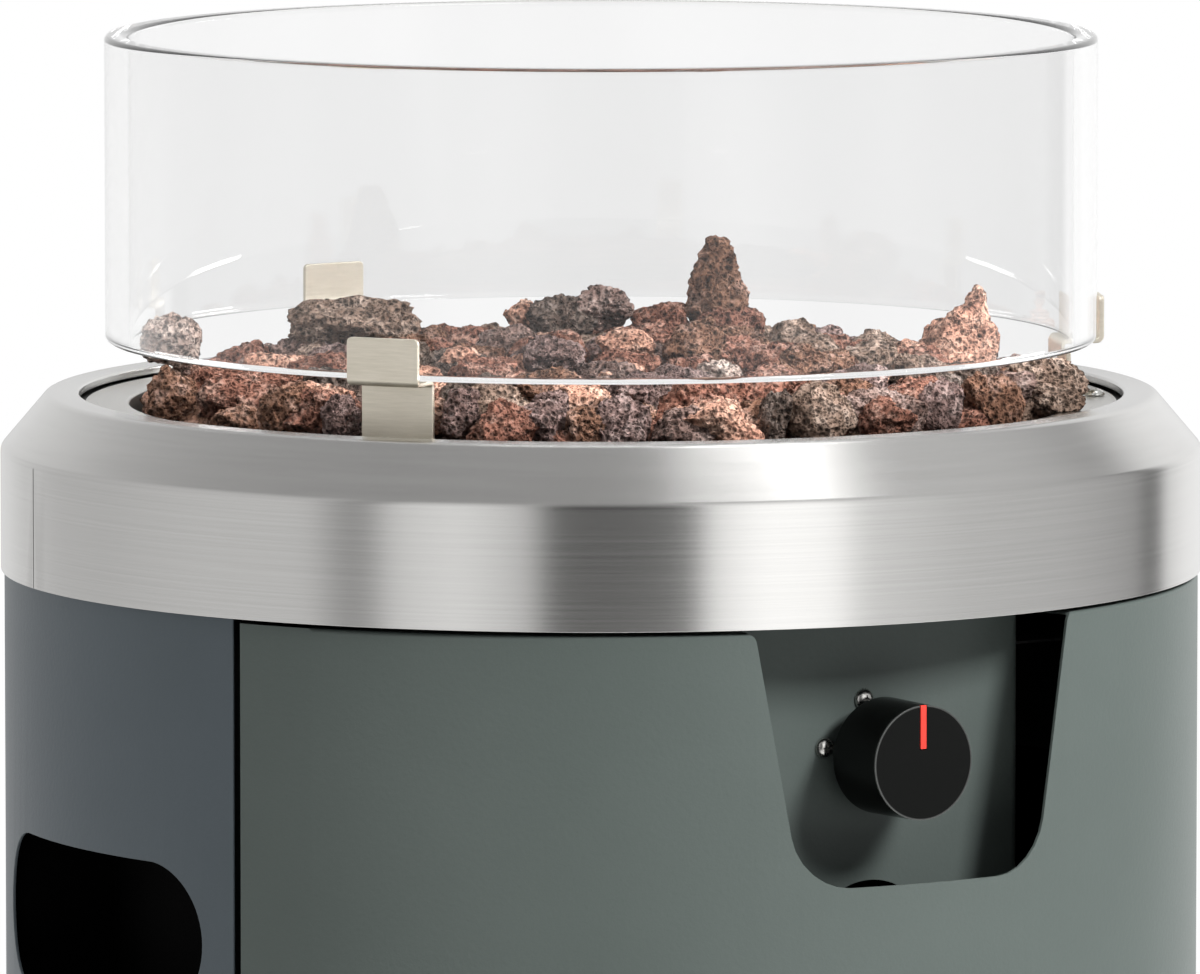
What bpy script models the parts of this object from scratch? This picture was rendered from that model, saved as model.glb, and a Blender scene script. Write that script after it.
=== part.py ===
"""Round gas patio heater: a sheet steel drum with a door, a fire pan of lava rock and a glass guard.

Metres, +Z up. The heater stands on z = 0 with its axis on Z, and its door and knob face -Y.
Angles are in degrees round the axis, counted from the front and positive towards +X.
"""

import math
import random

import bmesh
import bpy
from mathutils import Matrix, Vector

# Clearances and mesh fineness
SEAT_GAP = 0.0003
OVERRUN = 0.004
WELD = 0.000001
ROUND_STEPS = 48
PIPE_STEPS = 20
PIN_STEPS = 10
BEND_STEPS = 1
SMOOTH_ANGLE = 32.0
THIRD_OF_TURN = 120.0
QUARTER_OF_TURN = 90.0
FULL_TURN = 360.0

# Stainless ring round the top of the drum
RING_RADIUS = 0.240
RING_SHEET = 0.0010
RING_EDGE_HEIGHT = 0.520
RING_BAND = 0.0488
RING_RISE = 0.0217
RING_LEAN = 0.0185
RING_LIP = 0.0130
RING_LIP_FOLD = 0.0035
RING_BEND = 0.0030
RING_CLEARANCE = 0.0004

# Drum shell, closed all round above and below the door
CASING_SHEET = 0.0012
PLINTH_HEIGHT = 0.0140
HOOP_COVER = 0.0020

# Oval hand slots, one on each side of the drum
SLOT_ANGLE = 91.6
SLOT_LENGTH = 0.159
SLOT_HEIGHT = 0.061
SLOT_BELOW_RING = 0.129
SLOT_END_STEPS = 6

# Cup behind each hand slot
CUP_SHEET = 0.0015
CUP_DEPTH = 0.0420
CUP_RISE = 0.0060
CUP_REAR_MARGIN = 0.0060

# Low vents at the back of the bottle bay
VENT_COUNT = 6
VENT_PITCH_ANGLE = 7.5
VENT_WIDTH = 0.010
VENT_HEIGHT = 0.046
VENT_MIDDLE_HEIGHT = 0.085
VENT_END_STEPS = 2

# Feet, base plate and the ring that keeps the gas bottle in its place
FOOT_HEIGHT = 0.020
FOOT_RADIUS = 0.021
FOOT_TAPER = 0.003
FOOT_INSET = 0.0421
FOOT_COUNT = 4
BASE_SHEET = 0.0015
BASE_RIM = 0.0090
BASE_HOLE_RADIUS = 0.012
BASE_HOLE_CIRCLE_RADIUS = 0.070
BASE_HOLE_COUNT = 4
BOTTLE_RING_RADIUS = 0.1185
BOTTLE_RING_WALL = 0.0020
BOTTLE_RING_HEIGHT = 0.0130

# Door leaf with folded edges
DOOR_HALF_ANGLE = 68.0
DOOR_SIDE_GAP = 0.0028
DOOR_TOP_GAP = 0.0016
DOOR_BOTTOM_GAP = 0.0028
DOOR_RETURN = 0.0100
DOOR_FLANGE = 0.0134
DOOR_FLANGE_SETBACK = 0.034
DOOR_FLANGE_INSET = 0.0008
DOOR_FLANGE_PIN_END = 0.0030

# Cut-out of the door round the knob, open at the top
POCKET_TOP_HALF = 0.0735
POCKET_BOTTOM_HALF = 0.0550
POCKET_DEPTH = 0.1000
POCKET_CORNER = 0.025
POCKET_SHOULDER = 0.0045
POCKET_SHOULDER_LENGTH = 0.012
POCKET_CORNER_STEPS = 7
POCKET_SHOULDER_STEPS = 3

# Door posts, hinges and catch
POST_SHEET = 0.0015
POST_FACE = 0.0080
POST_DEPTH = 0.0150
POST_SETBACK = 0.0022
HINGE_DEPTH = 0.0060
HINGE_SETBACK = 0.0060
PIN_RADIUS = 0.0025
PIN_HEAD_RADIUS = 0.0045
PIN_HEAD_HEIGHT = 0.0018
HINGE_SHEET = 0.0020
HINGE_WIDTH = 0.0150
HINGE_REACH = 0.0090
HINGE_UPPER_LEG = 0.0210
HINGE_UPPER_LIFT = 0.0010
MAGNET_HEIGHT = 0.300
MAGNET_LENGTH = 0.040
MAGNET_WIDTH = 0.016
MAGNET_REACH = 0.034
MAGNET_ARM = 0.0025
MAGNET_FACE_STEPS = 3

# Fire pan and the deck that carries it
PAN_DROP = 0.0040
PAN_SHEET = 0.0010
PAN_EDGE_GAP = 0.0025
PAN_FLANGE = 0.0175
PIT_DEPTH = 0.0565
PAN_DRAIN_RADIUS = 0.0040
PAN_DRAIN_INSET = 0.0485
PAN_DRAIN_COUNT = 3
DECK_SHEET = 0.0012
DECK_RIM = 0.0140
DECK_STEP = 0.0190
DECK_SHOULDER = 0.0150
DECK_SLOPE = 0.0080
DECK_PAN_GAP = 0.0020
PAN_SCREW_OVERHANG = 0.0100
SCREW_HEAD_RADIUS = 0.0042
SCREW_HEAD_HEIGHT = 0.0026
SCREW_RADIUS = 0.0020
SCREW_LENGTH = 0.0090
HEAD_STEPS = 2

# Shelf between the fire bowl and the bottle bay
SHIELD_SHEET = 0.0010
SHIELD_DROP = 0.0260
SHIELD_RIM = 0.0120
SHIELD_FRONT_INSET = 0.0171
SHIELD_NOTCH_HALF = 0.0950
SHIELD_TUBE_GAP = 0.0006

# Ring burner with its hub, mixing tube, shutter and injector
BURNER_INSET = 0.0935
BURNER_PIPE_RADIUS = 0.0080
BURNER_HEIGHT = 0.0220
BURNER_MINOR_STEPS = 8
BURNER_MAJOR_STEPS = 28
BURNER_ARM_RADIUS = 0.0065
HUB_RADIUS = 0.0165
HUB_HEIGHT = 0.0260
HUB_SOCKET = 0.0130
MIXER_RADIUS = 0.0120
MIXER_WALL = 0.0015
MIXER_BELOW_SHIELD = 0.0335
MIXER_SEAT = 0.0110
NUT_RADIUS = 0.0190
NUT_HEIGHT = 0.0060
NUT_SIDES = 6
WINDOW_RADIUS = 0.0045
WINDOW_RISE = 0.0190
SHUTTER_WALL = 0.0010
SHUTTER_HEIGHT = 0.0110
SHUTTER_RISE = 0.0070
INJECTOR_RISE = 0.0040
INJECTOR_STUB = 0.0090
INJECTOR_STUB_RADIUS = 0.0065
INJECTOR_COLLAR = 0.0080
INJECTOR_NOZZLE = 0.0060
INJECTOR_NOZZLE_RADIUS = 0.0045
INJECTOR_TIP_RADIUS = 0.0025
FEED_RADIUS = 0.0040
FEED_BEND = 0.0150
FEED_SOCKET = 0.0040
FEED_BEND_STEPS = 8

# Flame sensor and igniter beside the burner
SENSOR_ANGLE = 20.0
SENSOR_SHEET = 0.0012
SENSOR_WIDTH = 0.0260
SENSOR_CLEARANCE = 0.0170
SENSOR_WEB = 0.0140
SENSOR_FOOT = 0.0140
SENSOR_RISE = 0.0140
SENSOR_SPACING = 0.0060
SENSOR_HOLE_INSET = 0.0060
ELECTRODE_RADIUS = 0.0030
ELECTRODE_WIRE_RADIUS = 0.0008
ELECTRODE_ABOVE = 0.0110
ELECTRODE_WIRE = 0.0028
THERMOCOUPLE_RADIUS = 0.0023
THERMOCOUPLE_TIP_RADIUS = 0.0016
THERMOCOUPLE_ABOVE = 0.0130
SENSOR_COLLAR = 0.0018
SENSOR_COLLAR_HEIGHT = 0.0020
SENSOR_BELOW = 0.0090

# Gas valve on the front panel, measured outwards from the drum's axis
KNOB_DROP = 0.0552
KNOB_BEHIND_RING = 0.0050
KNOB_LENGTH = 0.0290
KNOB_RADIUS = 0.0228
KNOB_DRAFT = 0.0004
KNOB_EDGE = 0.0006
KNOB_WALL = 0.0022
KNOB_RECESS = 0.0120
KNOB_BOSS_RADIUS = 0.0065
KNOB_STEPS = 24
POINTER_WIDTH = 0.0027
POINTER_LENGTH = 0.0170
POINTER_DEPTH = 0.0010
POINTER_PROUD = 0.0002
PANEL_BEHIND_RING = 0.0430
PANEL_SHEET = 0.0012
PANEL_HALF_WIDTH = 0.0700
PANEL_BEND = 0.0040
PANEL_RETURN = 0.0250
PANEL_ABOVE_RING = 0.0070
PANEL_BELOW_RING = 0.1350
PANEL_ARCH_RADIUS = 0.0300
STEM_RADIUS = 0.0030
STEM_TAIL = 0.0290
STEM_IN_KNOB = 0.0220
STEM_COLLAR_RADIUS = 0.0045
STEM_COLLAR_LENGTH = 0.0023
BONNET_RADIUS = 0.0260
BONNET_FLANGE = 0.0040
BONNET_NECK_RADIUS = 0.0085
BONNET_NECK = 0.0055
BONNET_BORE_RADIUS = 0.0060
BONNET_LIP = 0.0012
BONNET_LIP_RADIUS = 0.0050
SEAT_DISC = 0.0029
SEAT_DISC_GAP = 0.0004
PUSH_TRAVEL = 0.0030
SPRING_WIRE_RADIUS = 0.00055
SPRING_TURNS = 4
SPRING_POINTS_PER_TURN = 8
VALVE_SCREW_INSET = 0.0046
VALVE_SCREW_ANGLES = (98.0, 171.0)
VALVE_SCREW_LENGTH = 0.0070
BARREL_RADIUS = 0.0165
BARREL_LENGTH = 0.0362
SPRING_WELL = 0.0080
BLOCK_HALF_WIDTH = 0.0120
BLOCK_LENGTH = 0.0240
BLOCK_INSET = 0.0030
BLOCK_DROP = 0.0320
BLOCK_TOP_DROP = 0.0040
OUTLET_DROP = 0.0200
OUTLET_RADIUS = 0.0075
OUTLET_LENGTH = 0.0130
INLET_SPIGOT_RADIUS = 0.0045
INLET_SPIGOT = 0.0060
INLET_COLLAR_RADIUS = 0.0095
INLET_COLLAR = 0.0080
INLET_STUB_RADIUS = 0.0072
INLET_STUB = 0.0120
INLET_BORE_RADIUS = 0.0035

# Glass guard and its three strip brackets
GUARD_OVERHANG = 0.0096
GUARD_WALL = 0.0095
GUARD_HEIGHT = 0.1220
GUARD_EDGE = 0.0012
GUARD_CLEARANCE = 0.0004
STRIP_WIDTH = 0.0305
STRIP_SHEET = 0.0020
STRIP_BEND = 0.0030
STRIP_TAB = 0.0169
STRIP_LEDGE_RISE = 0.0204
STRIP_LEG = 0.0445
STRIP_CORNER = 0.0050
STRIP_CORNER_STEPS = 3
STRIP_FIRST_ANGLE = -57.0
RIVET_BELOW_FLANGE = 0.0260
RIVET_HEAD_HEIGHT = 0.0015

# Bed of lava rock
LAVA_EDGE_GAP = 0.0085
LAVA_WALL_GAP = 0.0017
LAVA_BRACKET_GAP = 0.0025
LAVA_BRACKET_ANGLE = 11.0
LAVA_EDGE_HEIGHT = 0.0100
LAVA_CROWN = 0.0100
LAVA_CORE_STEPS = 20
ROCK_COUNT = 45
ROCK_SIZE = 0.0255
ROCK_CORNERS = 10
ROCK_SIZE_SHARES = (0.80, 1.28)
ROCK_AXIS_SHARES = (0.78, 1.22)
ROCK_JITTER_SHARE = 0.16
ROCK_LIFT_SHARE = 0.30
ROCK_SEED = 7
SPIRE_ANGLE = 58.0
SPIRE_INSET = 0.135
SPIRE_HALF_WIDTH = 0.0125
SPIRE_HEIGHT = 0.050
PEAK_ANGLE = 50.0
PEAK_INSET = 0.040
PEAK_HALF_WIDTH = 0.0170
PEAK_HEIGHT = 0.034
GOLDEN_ANGLE = 180.0 * (3.0 - math.sqrt(5.0))

# Heights and radii that follow from the sizes above
RING_TOP = RING_EDGE_HEIGHT + RING_BAND + RING_RISE
RING_LIP_RADIUS = RING_RADIUS - RING_LEAN - RING_LIP
CASING_RADIUS = RING_RADIUS - RING_SHEET - RING_CLEARANCE
CASING_INNER = CASING_RADIUS - CASING_SHEET
FITTED_RADIUS = CASING_INNER - SEAT_GAP
FOOT_CIRCLE_RADIUS = FITTED_RADIUS - FOOT_INSET
SHIELD_FRONT_RADIUS = FITTED_RADIUS - SHIELD_FRONT_INSET
KNOB_FACE = RING_RADIUS - KNOB_BEHIND_RING
PANEL_FACE = RING_RADIUS - PANEL_BEHIND_RING
CHAMFER_TURN = math.atan2(RING_LEAN, RING_RISE)
CASING_TOP = RING_EDGE_HEIGHT + RING_BAND - RING_SHEET * math.tan(CHAMFER_TURN / 2) - SEAT_GAP
BASE_BOTTOM = FOOT_HEIGHT + SEAT_GAP
BASE_TOP = BASE_BOTTOM + BASE_SHEET
PLINTH_TOP = BASE_BOTTOM + PLINTH_HEIGHT
OPENING_HALF_ANGLE = DOOR_HALF_ANGLE + math.degrees(DOOR_SIDE_GAP / CASING_RADIUS)
OPENING_TOP = RING_EDGE_HEIGHT + HOOP_COVER
DOOR_TOP = RING_EDGE_HEIGHT - DOOR_TOP_GAP
DOOR_BOTTOM = PLINTH_TOP + DOOR_BOTTOM_GAP
HINGE_RADIUS = CASING_RADIUS - HINGE_DEPTH
HINGE_ANGLE = DOOR_HALF_ANGLE - math.degrees(HINGE_SETBACK / HINGE_RADIUS)
POST_ANGLE = OPENING_HALF_ANGLE + math.degrees((POST_SETBACK + POST_FACE / 2) / CASING_INNER)
PAN_TOP = RING_TOP - PAN_DROP
PAN_RADIUS = RING_LIP_RADIUS - PAN_EDGE_GAP
PIT_RADIUS = PAN_RADIUS - PAN_FLANGE
PAN_SCREW_CIRCLE_RADIUS = PIT_RADIUS + PAN_SCREW_OVERHANG
PAN_DRAIN_CIRCLE_RADIUS = PIT_RADIUS - PAN_DRAIN_INSET
BURNER_RADIUS = PIT_RADIUS - BURNER_INSET
SENSOR_INNER = BURNER_RADIUS + SENSOR_CLEARANCE
GUARD_RADIUS = PIT_RADIUS + GUARD_OVERHANG
LAVA_RADIUS = PIT_RADIUS - LAVA_EDGE_GAP
SPIRE_RADIUS = LAVA_RADIUS - SPIRE_INSET
PEAK_RADIUS = LAVA_RADIUS - PEAK_INSET
PIT_FLOOR = PAN_TOP - PIT_DEPTH
DECK_TOP = PAN_TOP - PAN_SHEET - SEAT_GAP
DECK_HOLE = PIT_RADIUS + PAN_SHEET + DECK_PAN_GAP
DECK_SHOULDER_TOP = DECK_TOP - DECK_STEP
SHIELD_TOP = PIT_FLOOR - SHIELD_DROP
BURNER_LEVEL = PIT_FLOOR + BURNER_HEIGHT
BURNER_TOP = BURNER_LEVEL + BURNER_PIPE_RADIUS
MIXER_TOP = PIT_FLOOR + MIXER_SEAT
MIXER_BOTTOM = SHIELD_TOP - MIXER_BELOW_SHIELD
KNOB_HEIGHT = RING_EDGE_HEIGHT - KNOB_DROP
KNOB_BACK = KNOB_FACE - KNOB_LENGTH
PANEL_BACK = PANEL_FACE - PANEL_SHEET
BONNET_FRONT = PANEL_BACK - SEAT_GAP
VALVE_SCREW_CIRCLE_RADIUS = BONNET_RADIUS - VALVE_SCREW_INSET
BONNET_BACK = BONNET_FRONT - BONNET_FLANGE
NECK_FRONT = PANEL_FACE + BONNET_NECK
LIP_BACK = NECK_FRONT - BONNET_LIP
DISC_FRONT = LIP_BACK - SEAT_DISC_GAP
DISC_BACK = DISC_FRONT - SEAT_DISC
BARREL_FRONT = BONNET_BACK - SEAT_GAP
BARREL_BACK = BARREL_FRONT - BARREL_LENGTH
WELL_BOTTOM = BARREL_FRONT - SPRING_WELL
BLOCK_BACK = BARREL_BACK + BLOCK_INSET
BLOCK_MIDDLE = BLOCK_BACK + BLOCK_LENGTH / 2
OUTLET_BACK = BLOCK_BACK - OUTLET_LENGTH
OUTLET_HEIGHT = KNOB_HEIGHT - OUTLET_DROP
INLET_TOP = KNOB_HEIGHT - BLOCK_DROP
INJECTOR_BOTTOM = MIXER_BOTTOM - INJECTOR_STUB
LEDGE_TOP = RING_TOP + STRIP_LEDGE_RISE
LEDGE_BOTTOM = LEDGE_TOP - STRIP_SHEET
GUARD_BOTTOM = LEDGE_TOP + SEAT_GAP
GUARD_TOP = GUARD_BOTTOM + GUARD_HEIGHT
GUARD_INNER = GUARD_RADIUS - GUARD_WALL
TAB_FACE = GUARD_RADIUS + GUARD_CLEARANCE + STRIP_SHEET
PIT_FLAT = PIT_RADIUS * math.cos(math.pi / ROUND_STEPS)
LEG_FACE = math.sqrt((PIT_FLAT - SEAT_GAP) ** 2 - (STRIP_WIDTH / 2) ** 2)
LAVA_BOTTOM = BURNER_TOP + SEAT_GAP


def polar(radius, angle, height=0.0):
    """The point at this radius and height, at an angle counted from the front."""
    turn = math.radians(angle)
    return Vector((radius * math.sin(turn), -radius * math.cos(turn), height))


def arc_angles(start, end):
    """The ends of an arc and every corner of the drum's facets between them."""
    step = FULL_TURN / ROUND_STEPS
    first = math.floor(start / step) + 1
    last = math.ceil(end / step)
    return [start] + [step * corner for corner in range(first, last)] + [end]


def on_facet(radius, angle):
    """The (x, y) point where the drum's faceted wall of this radius crosses an angle."""
    half_step = FULL_TURN / ROUND_STEPS / 2
    offset = angle % (2 * half_step) - half_step
    flat = radius * math.cos(math.radians(half_step))
    return tuple(polar(flat / math.cos(math.radians(offset)), angle).xy)


def arc(radius, start, end):
    """The (x, y) corners of an arc that keeps to the drum's facets."""
    return [on_facet(radius, angle) for angle in arc_angles(start, end)]


def circle_points(radius, steps, middle=(0.0, 0.0), first_share=0.0):
    """Corners of a regular polygon round a middle point; the first may be turned by a share of a step."""
    spokes = [Vector((radius, 0.0)) for corner in range(steps)]
    for corner, spoke in enumerate(spokes):
        spoke.rotate(Matrix.Rotation(math.tau * (corner + first_share) / steps, 2))
    return [tuple(Vector(middle) + spoke) for spoke in spokes]


def rounded(path, radius, steps, corners=None):
    """A flat path with the chosen corners, or all inner ones, replaced by arcs."""
    corners = range(1, len(path) - 1) if corners is None else corners
    result = []
    for index, point in enumerate(path):
        here = Vector(point)
        if index not in corners:
            result.append((here.x, here.y))
            continue
        before = (Vector(path[index - 1]) - here).normalized()
        after = (Vector(path[(index + 1) % len(path)]) - here).normalized()
        half = before.angle(after) / 2
        middle = here + (before + after).normalized() * (radius / math.sin(half))
        start = here + before * (radius / math.tan(half)) - middle
        end = here + after * (radius / math.tan(half)) - middle
        for step in range(steps + 1):
            spoke = start.slerp(end, step / steps) * radius
            result.append((middle.x + spoke.x, middle.y + spoke.y))
    return result


def sheet(path, thickness):
    """The closed outline of a sheet whose thickness lies on the left of its path."""
    points = [Vector(point) for point in path]
    other_side = []
    for index, point in enumerate(points):
        sides = []
        if index > 0:
            sides.append((point - points[index - 1]).normalized())
        if index < len(points) - 1:
            sides.append((points[index + 1] - point).normalized())
        normals = [Vector((-side.y, side.x)) for side in sides]
        mitre = sum(normals, Vector((0.0, 0.0)))
        shift = mitre * (thickness / (1 + normals[0].dot(normals[-1])) if len(normals) > 1 else thickness)
        other_side.append(point + shift)
    return [tuple(point) for point in points + other_side[::-1]]


def material(name, colour, roughness, metallic, transmission=0.0):
    """A Principled material; the colour is given in display values."""
    made = bpy.data.materials.new(name)
    made.use_nodes = True
    shader = made.node_tree.nodes["Principled BSDF"]
    linear = [channel ** 2.2 for channel in colour]
    shader.inputs["Base Color"].default_value = (*linear, 1.0)
    shader.inputs["Roughness"].default_value = roughness
    shader.inputs["Metallic"].default_value = metallic
    shader.inputs["Transmission Weight"].default_value = transmission
    return made


def add_object(name, shape, look=None):
    """Turns a bmesh into an object with smooth round sides and sharp edges."""
    bmesh.ops.remove_doubles(shape, verts=shape.verts, dist=WELD)
    loose = [edge for edge in shape.edges if not edge.link_faces]
    bmesh.ops.delete(shape, geom=loose, context="EDGES")
    bmesh.ops.recalc_face_normals(shape, faces=shape.faces)
    mesh = bpy.data.meshes.new(name)
    shape.to_mesh(mesh)
    shape.free()
    if look:
        mesh.materials.append(look)
    mesh.shade_smooth()
    mesh.set_sharp_from_angle(angle=math.radians(SMOOTH_ANGLE))
    made = bpy.data.objects.new(name, mesh)
    bpy.context.collection.objects.link(made)
    return made


def turned(name, profile, look=None, steps=ROUND_STEPS):
    """A closed outline of (radius, height) points spun once round the Z axis."""
    shape = bmesh.new()
    corners = [shape.verts.new((0.0, -radius, height)) for radius, height in profile]
    sides = [shape.edges.new((corners[index - 1], corner)) for index, corner in enumerate(corners)]
    bmesh.ops.spin(
        shape, geom=corners + sides, axis=(0, 0, 1), angle=math.tau, steps=steps, use_merge=True
    )
    return add_object(name, shape, look)


def rod(name, radius, bottom, top, look=None, steps=PIN_STEPS):
    """A plain cylinder on the Z axis."""
    return turned(name, [(0.0, bottom), (radius, bottom), (radius, top), (0.0, top)], look, steps)


def extruded(name, outline, bottom, top, look=None):
    """A flat outline of (x, y) points raised from one height to another."""
    shape = bmesh.new()
    lower = [shape.verts.new((x, y, bottom)) for x, y in outline]
    upper = [shape.verts.new((x, y, top)) for x, y in outline]
    shape.faces.new(lower)
    shape.faces.new(upper)
    for index in range(len(outline)):
        shape.faces.new((lower[index - 1], lower[index], upper[index], upper[index - 1]))
    return add_object(name, shape, look)


def box(name, low, high, look=None):
    """A block between two opposite corners."""
    outline = [(low[0], low[1]), (high[0], low[1]), (high[0], high[1]), (low[0], high[1])]
    return extruded(name, outline, low[2], high[2], look)


def strip(name, path, thickness, width, look=None):
    """A bent strip whose path of (distance, height) points runs out from the axis to the front."""
    outline = sheet(path, thickness)
    shape = bmesh.new()
    left = [shape.verts.new((-width / 2, -distance, height)) for distance, height in outline]
    right = [shape.verts.new((width / 2, -distance, height)) for distance, height in outline]
    shape.faces.new(left)
    shape.faces.new(right)
    for index in range(len(outline)):
        shape.faces.new((left[index - 1], left[index], right[index], right[index - 1]))
    return add_object(name, shape, look)


def wall_cutter(name, outline, inner, outer):
    """A cutter that runs straight out from the axis; its outline is given as (angle, height) points."""
    shape = bmesh.new()
    near = [shape.verts.new(polar(inner, angle, height)) for angle, height in outline]
    far = [shape.verts.new(polar(outer, angle, height)) for angle, height in outline]
    shape.faces.new(near)
    shape.faces.new(far)
    for index in range(len(outline)):
        shape.faces.new((near[index - 1], near[index], far[index], far[index - 1]))
    return add_object(name, shape)


def turn_to(made, angle):
    """Turns a piece round the drum's axis, from the front to an angle."""
    made.rotation_euler.z = math.radians(angle)
    return made


def move_origin(made, origin):
    """Puts a piece's origin on its joint and leaves the piece where it is."""
    for vertex in made.data.vertices:
        vertex.co -= origin
    made.location = origin


def boolean(body, tools, operation="DIFFERENCE"):
    """Cuts or joins with exact Booleans, and keeps the tools out of the render."""
    for tool in tools:
        tool.hide_render = True
        tool.display_type = "WIRE"
        modifier = body.modifiers.new(tool.name, "BOOLEAN")
        modifier.operation = operation
        modifier.solver = "EXACT"
        modifier.object = tool
    return body


def stadium(middle_angle, middle_height, length, height, steps):
    """An oval slot's outline on the drum, as (angle, height) points."""
    end = min(length, height) / 2
    along = (length / 2 - end, height / 2 - end)
    outline = []
    for step in range(2 * (steps + 1)):
        turn = math.pi * (step - step // (steps + 1)) / steps - math.pi / 2
        side = (1 if math.cos(turn) > -WELD and step <= steps else -1) * along[0]
        level = (1 if math.sin(turn) > 0 else -1) * along[1]
        arc = side + end * math.cos(turn)
        angle = middle_angle + math.degrees(arc / CASING_RADIUS)
        outline.append((angle, middle_height + level + end * math.sin(turn)))
    return outline


def empty(name, location, rotation):
    """An empty that carries a group of pieces."""
    made = bpy.data.objects.new(name, None)
    bpy.context.collection.objects.link(made)
    made.location = location
    made.rotation_euler = rotation
    return made


for old in list(bpy.data.objects):
    bpy.data.objects.remove(old, do_unlink=True)

brushed_steel = material("brushed_steel", (0.74, 0.74, 0.73), 0.28, 1.0)
bright_steel = material("bright_steel", (0.80, 0.80, 0.79), 0.18, 1.0)
grey_paint = material("grey_paint", (0.36, 0.39, 0.39), 0.48, 0.0)
black_paint = material("black_paint", (0.05, 0.05, 0.05), 0.60, 0.0)
black_plastic = material("black_plastic", (0.06, 0.06, 0.06), 0.42, 0.0)
red_plastic = material("red_plastic", (0.90, 0.16, 0.12), 0.40, 0.0)
rubber = material("rubber", (0.08, 0.08, 0.08), 0.80, 0.0)
brass = material("brass", (0.78, 0.64, 0.36), 0.30, 1.0)
copper = material("copper", (0.72, 0.46, 0.34), 0.32, 1.0)
ceramic = material("ceramic", (0.88, 0.86, 0.82), 0.35, 0.0)
clear_glass = material("clear_glass", (0.95, 0.97, 0.96), 0.02, 0.0, 1.0)
lava = material("lava", (0.42, 0.29, 0.25), 0.92, 0.0)


# Base plate with an upturned rim and drain holes, on four rubber feet
base_plate = turned(
    "base_plate",
    sheet(
        [(0.0, BASE_BOTTOM), (FITTED_RADIUS, BASE_BOTTOM), (FITTED_RADIUS, BASE_BOTTOM + BASE_RIM)],
        BASE_SHEET,
    ),
    black_paint,
)
base_holes = []
half_facet = FULL_TURN / ROUND_STEPS / 2
for number in range(BASE_HOLE_COUNT):
    hole = rod(f"base_hole_{number}", BASE_HOLE_RADIUS, BASE_BOTTOM - OVERRUN, BASE_TOP + OVERRUN)
    hole.location = polar(BASE_HOLE_CIRCLE_RADIUS, FULL_TURN * number / BASE_HOLE_COUNT + half_facet)
    base_holes.append(hole)
boolean(base_plate, base_holes)

foot_profile = [
    (0.0, 0.0),
    (FOOT_RADIUS - FOOT_TAPER, 0.0),
    (FOOT_RADIUS, FOOT_TAPER),
    (FOOT_RADIUS, FOOT_HEIGHT),
    (0.0, FOOT_HEIGHT),
]
for number in range(FOOT_COUNT):
    foot = turned(f"foot_{number + 1}", foot_profile, rubber, PIPE_STEPS)
    foot.location = polar(FOOT_CIRCLE_RADIUS, FULL_TURN * (number + 0.5) / FOOT_COUNT)

ring_bottom = BASE_TOP + SEAT_GAP
turned(
    "bottle_ring",
    [
        (BOTTLE_RING_RADIUS - BOTTLE_RING_WALL, ring_bottom),
        (BOTTLE_RING_RADIUS, ring_bottom),
        (BOTTLE_RING_RADIUS, ring_bottom + BOTTLE_RING_HEIGHT),
        (BOTTLE_RING_RADIUS - BOTTLE_RING_WALL, ring_bottom + BOTTLE_RING_HEIGHT),
    ],
    black_paint,
    ROUND_STEPS // 2,
)

# Drum shell: one rolled sheet, with the door opening, two hand slots and low vents cut out
casing_shell = turned(
    "casing_shell",
    [
        (CASING_INNER, BASE_BOTTOM),
        (CASING_RADIUS, BASE_BOTTOM),
        (CASING_RADIUS, CASING_TOP),
        (CASING_INNER, CASING_TOP),
    ],
    grey_paint,
)
beyond = RING_RADIUS / math.cos(math.radians(FULL_TURN / ROUND_STEPS)) + OVERRUN
opening_outline = [(0.0, 0.0)] + arc(beyond, -OPENING_HALF_ANGLE, OPENING_HALF_ANGLE)
door_opening = extruded("door_opening", opening_outline, PLINTH_TOP, OPENING_TOP)
slot_inner = CASING_INNER - RING_BAND / 2
slot_outer = CASING_RADIUS + RING_BAND / 2
slot_height = RING_EDGE_HEIGHT - SLOT_BELOW_RING
casing_cutters = [door_opening]
for side, slot_name in ((-1, "left_slot"), (1, "right_slot")):
    outline = stadium(side * SLOT_ANGLE, slot_height, SLOT_LENGTH, SLOT_HEIGHT, SLOT_END_STEPS)
    casing_cutters.append(wall_cutter(slot_name, outline, slot_inner, slot_outer))
for number in range(VENT_COUNT):
    vent_angle = FULL_TURN / 2 + VENT_PITCH_ANGLE * (number - (VENT_COUNT - 1) / 2)
    outline = stadium(vent_angle, VENT_MIDDLE_HEIGHT, VENT_WIDTH, VENT_HEIGHT, VENT_END_STEPS)
    casing_cutters.append(wall_cutter(f"vent_{number}", outline, slot_inner, slot_outer))
boolean(casing_shell, casing_cutters)

# Stainless ring: band, chamfer, flat lip and a short fold at the fire opening
ring_path = rounded(
    [
        (RING_RADIUS, RING_EDGE_HEIGHT),
        (RING_RADIUS, RING_EDGE_HEIGHT + RING_BAND),
        (RING_RADIUS - RING_LEAN, RING_TOP),
        (RING_LIP_RADIUS, RING_TOP),
        (RING_LIP_RADIUS, RING_TOP - RING_LIP_FOLD),
    ],
    RING_BEND,
    BEND_STEPS,
    corners=(1, 2),
)
turned("steel_ring", sheet(ring_path, RING_SHEET), brushed_steel)

# Deck: a stepped ring sheet that closes the drum and carries the fire pan
top_deck = turned(
    "top_deck",
    sheet(
        [
            (FITTED_RADIUS, DECK_SHOULDER_TOP - DECK_RIM),
            (FITTED_RADIUS, DECK_SHOULDER_TOP),
            (FITTED_RADIUS - DECK_SHOULDER, DECK_SHOULDER_TOP),
            (FITTED_RADIUS - DECK_SHOULDER - DECK_SLOPE, DECK_TOP),
            (DECK_HOLE, DECK_TOP),
        ],
        DECK_SHEET,
    ),
    black_paint,
)

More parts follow.
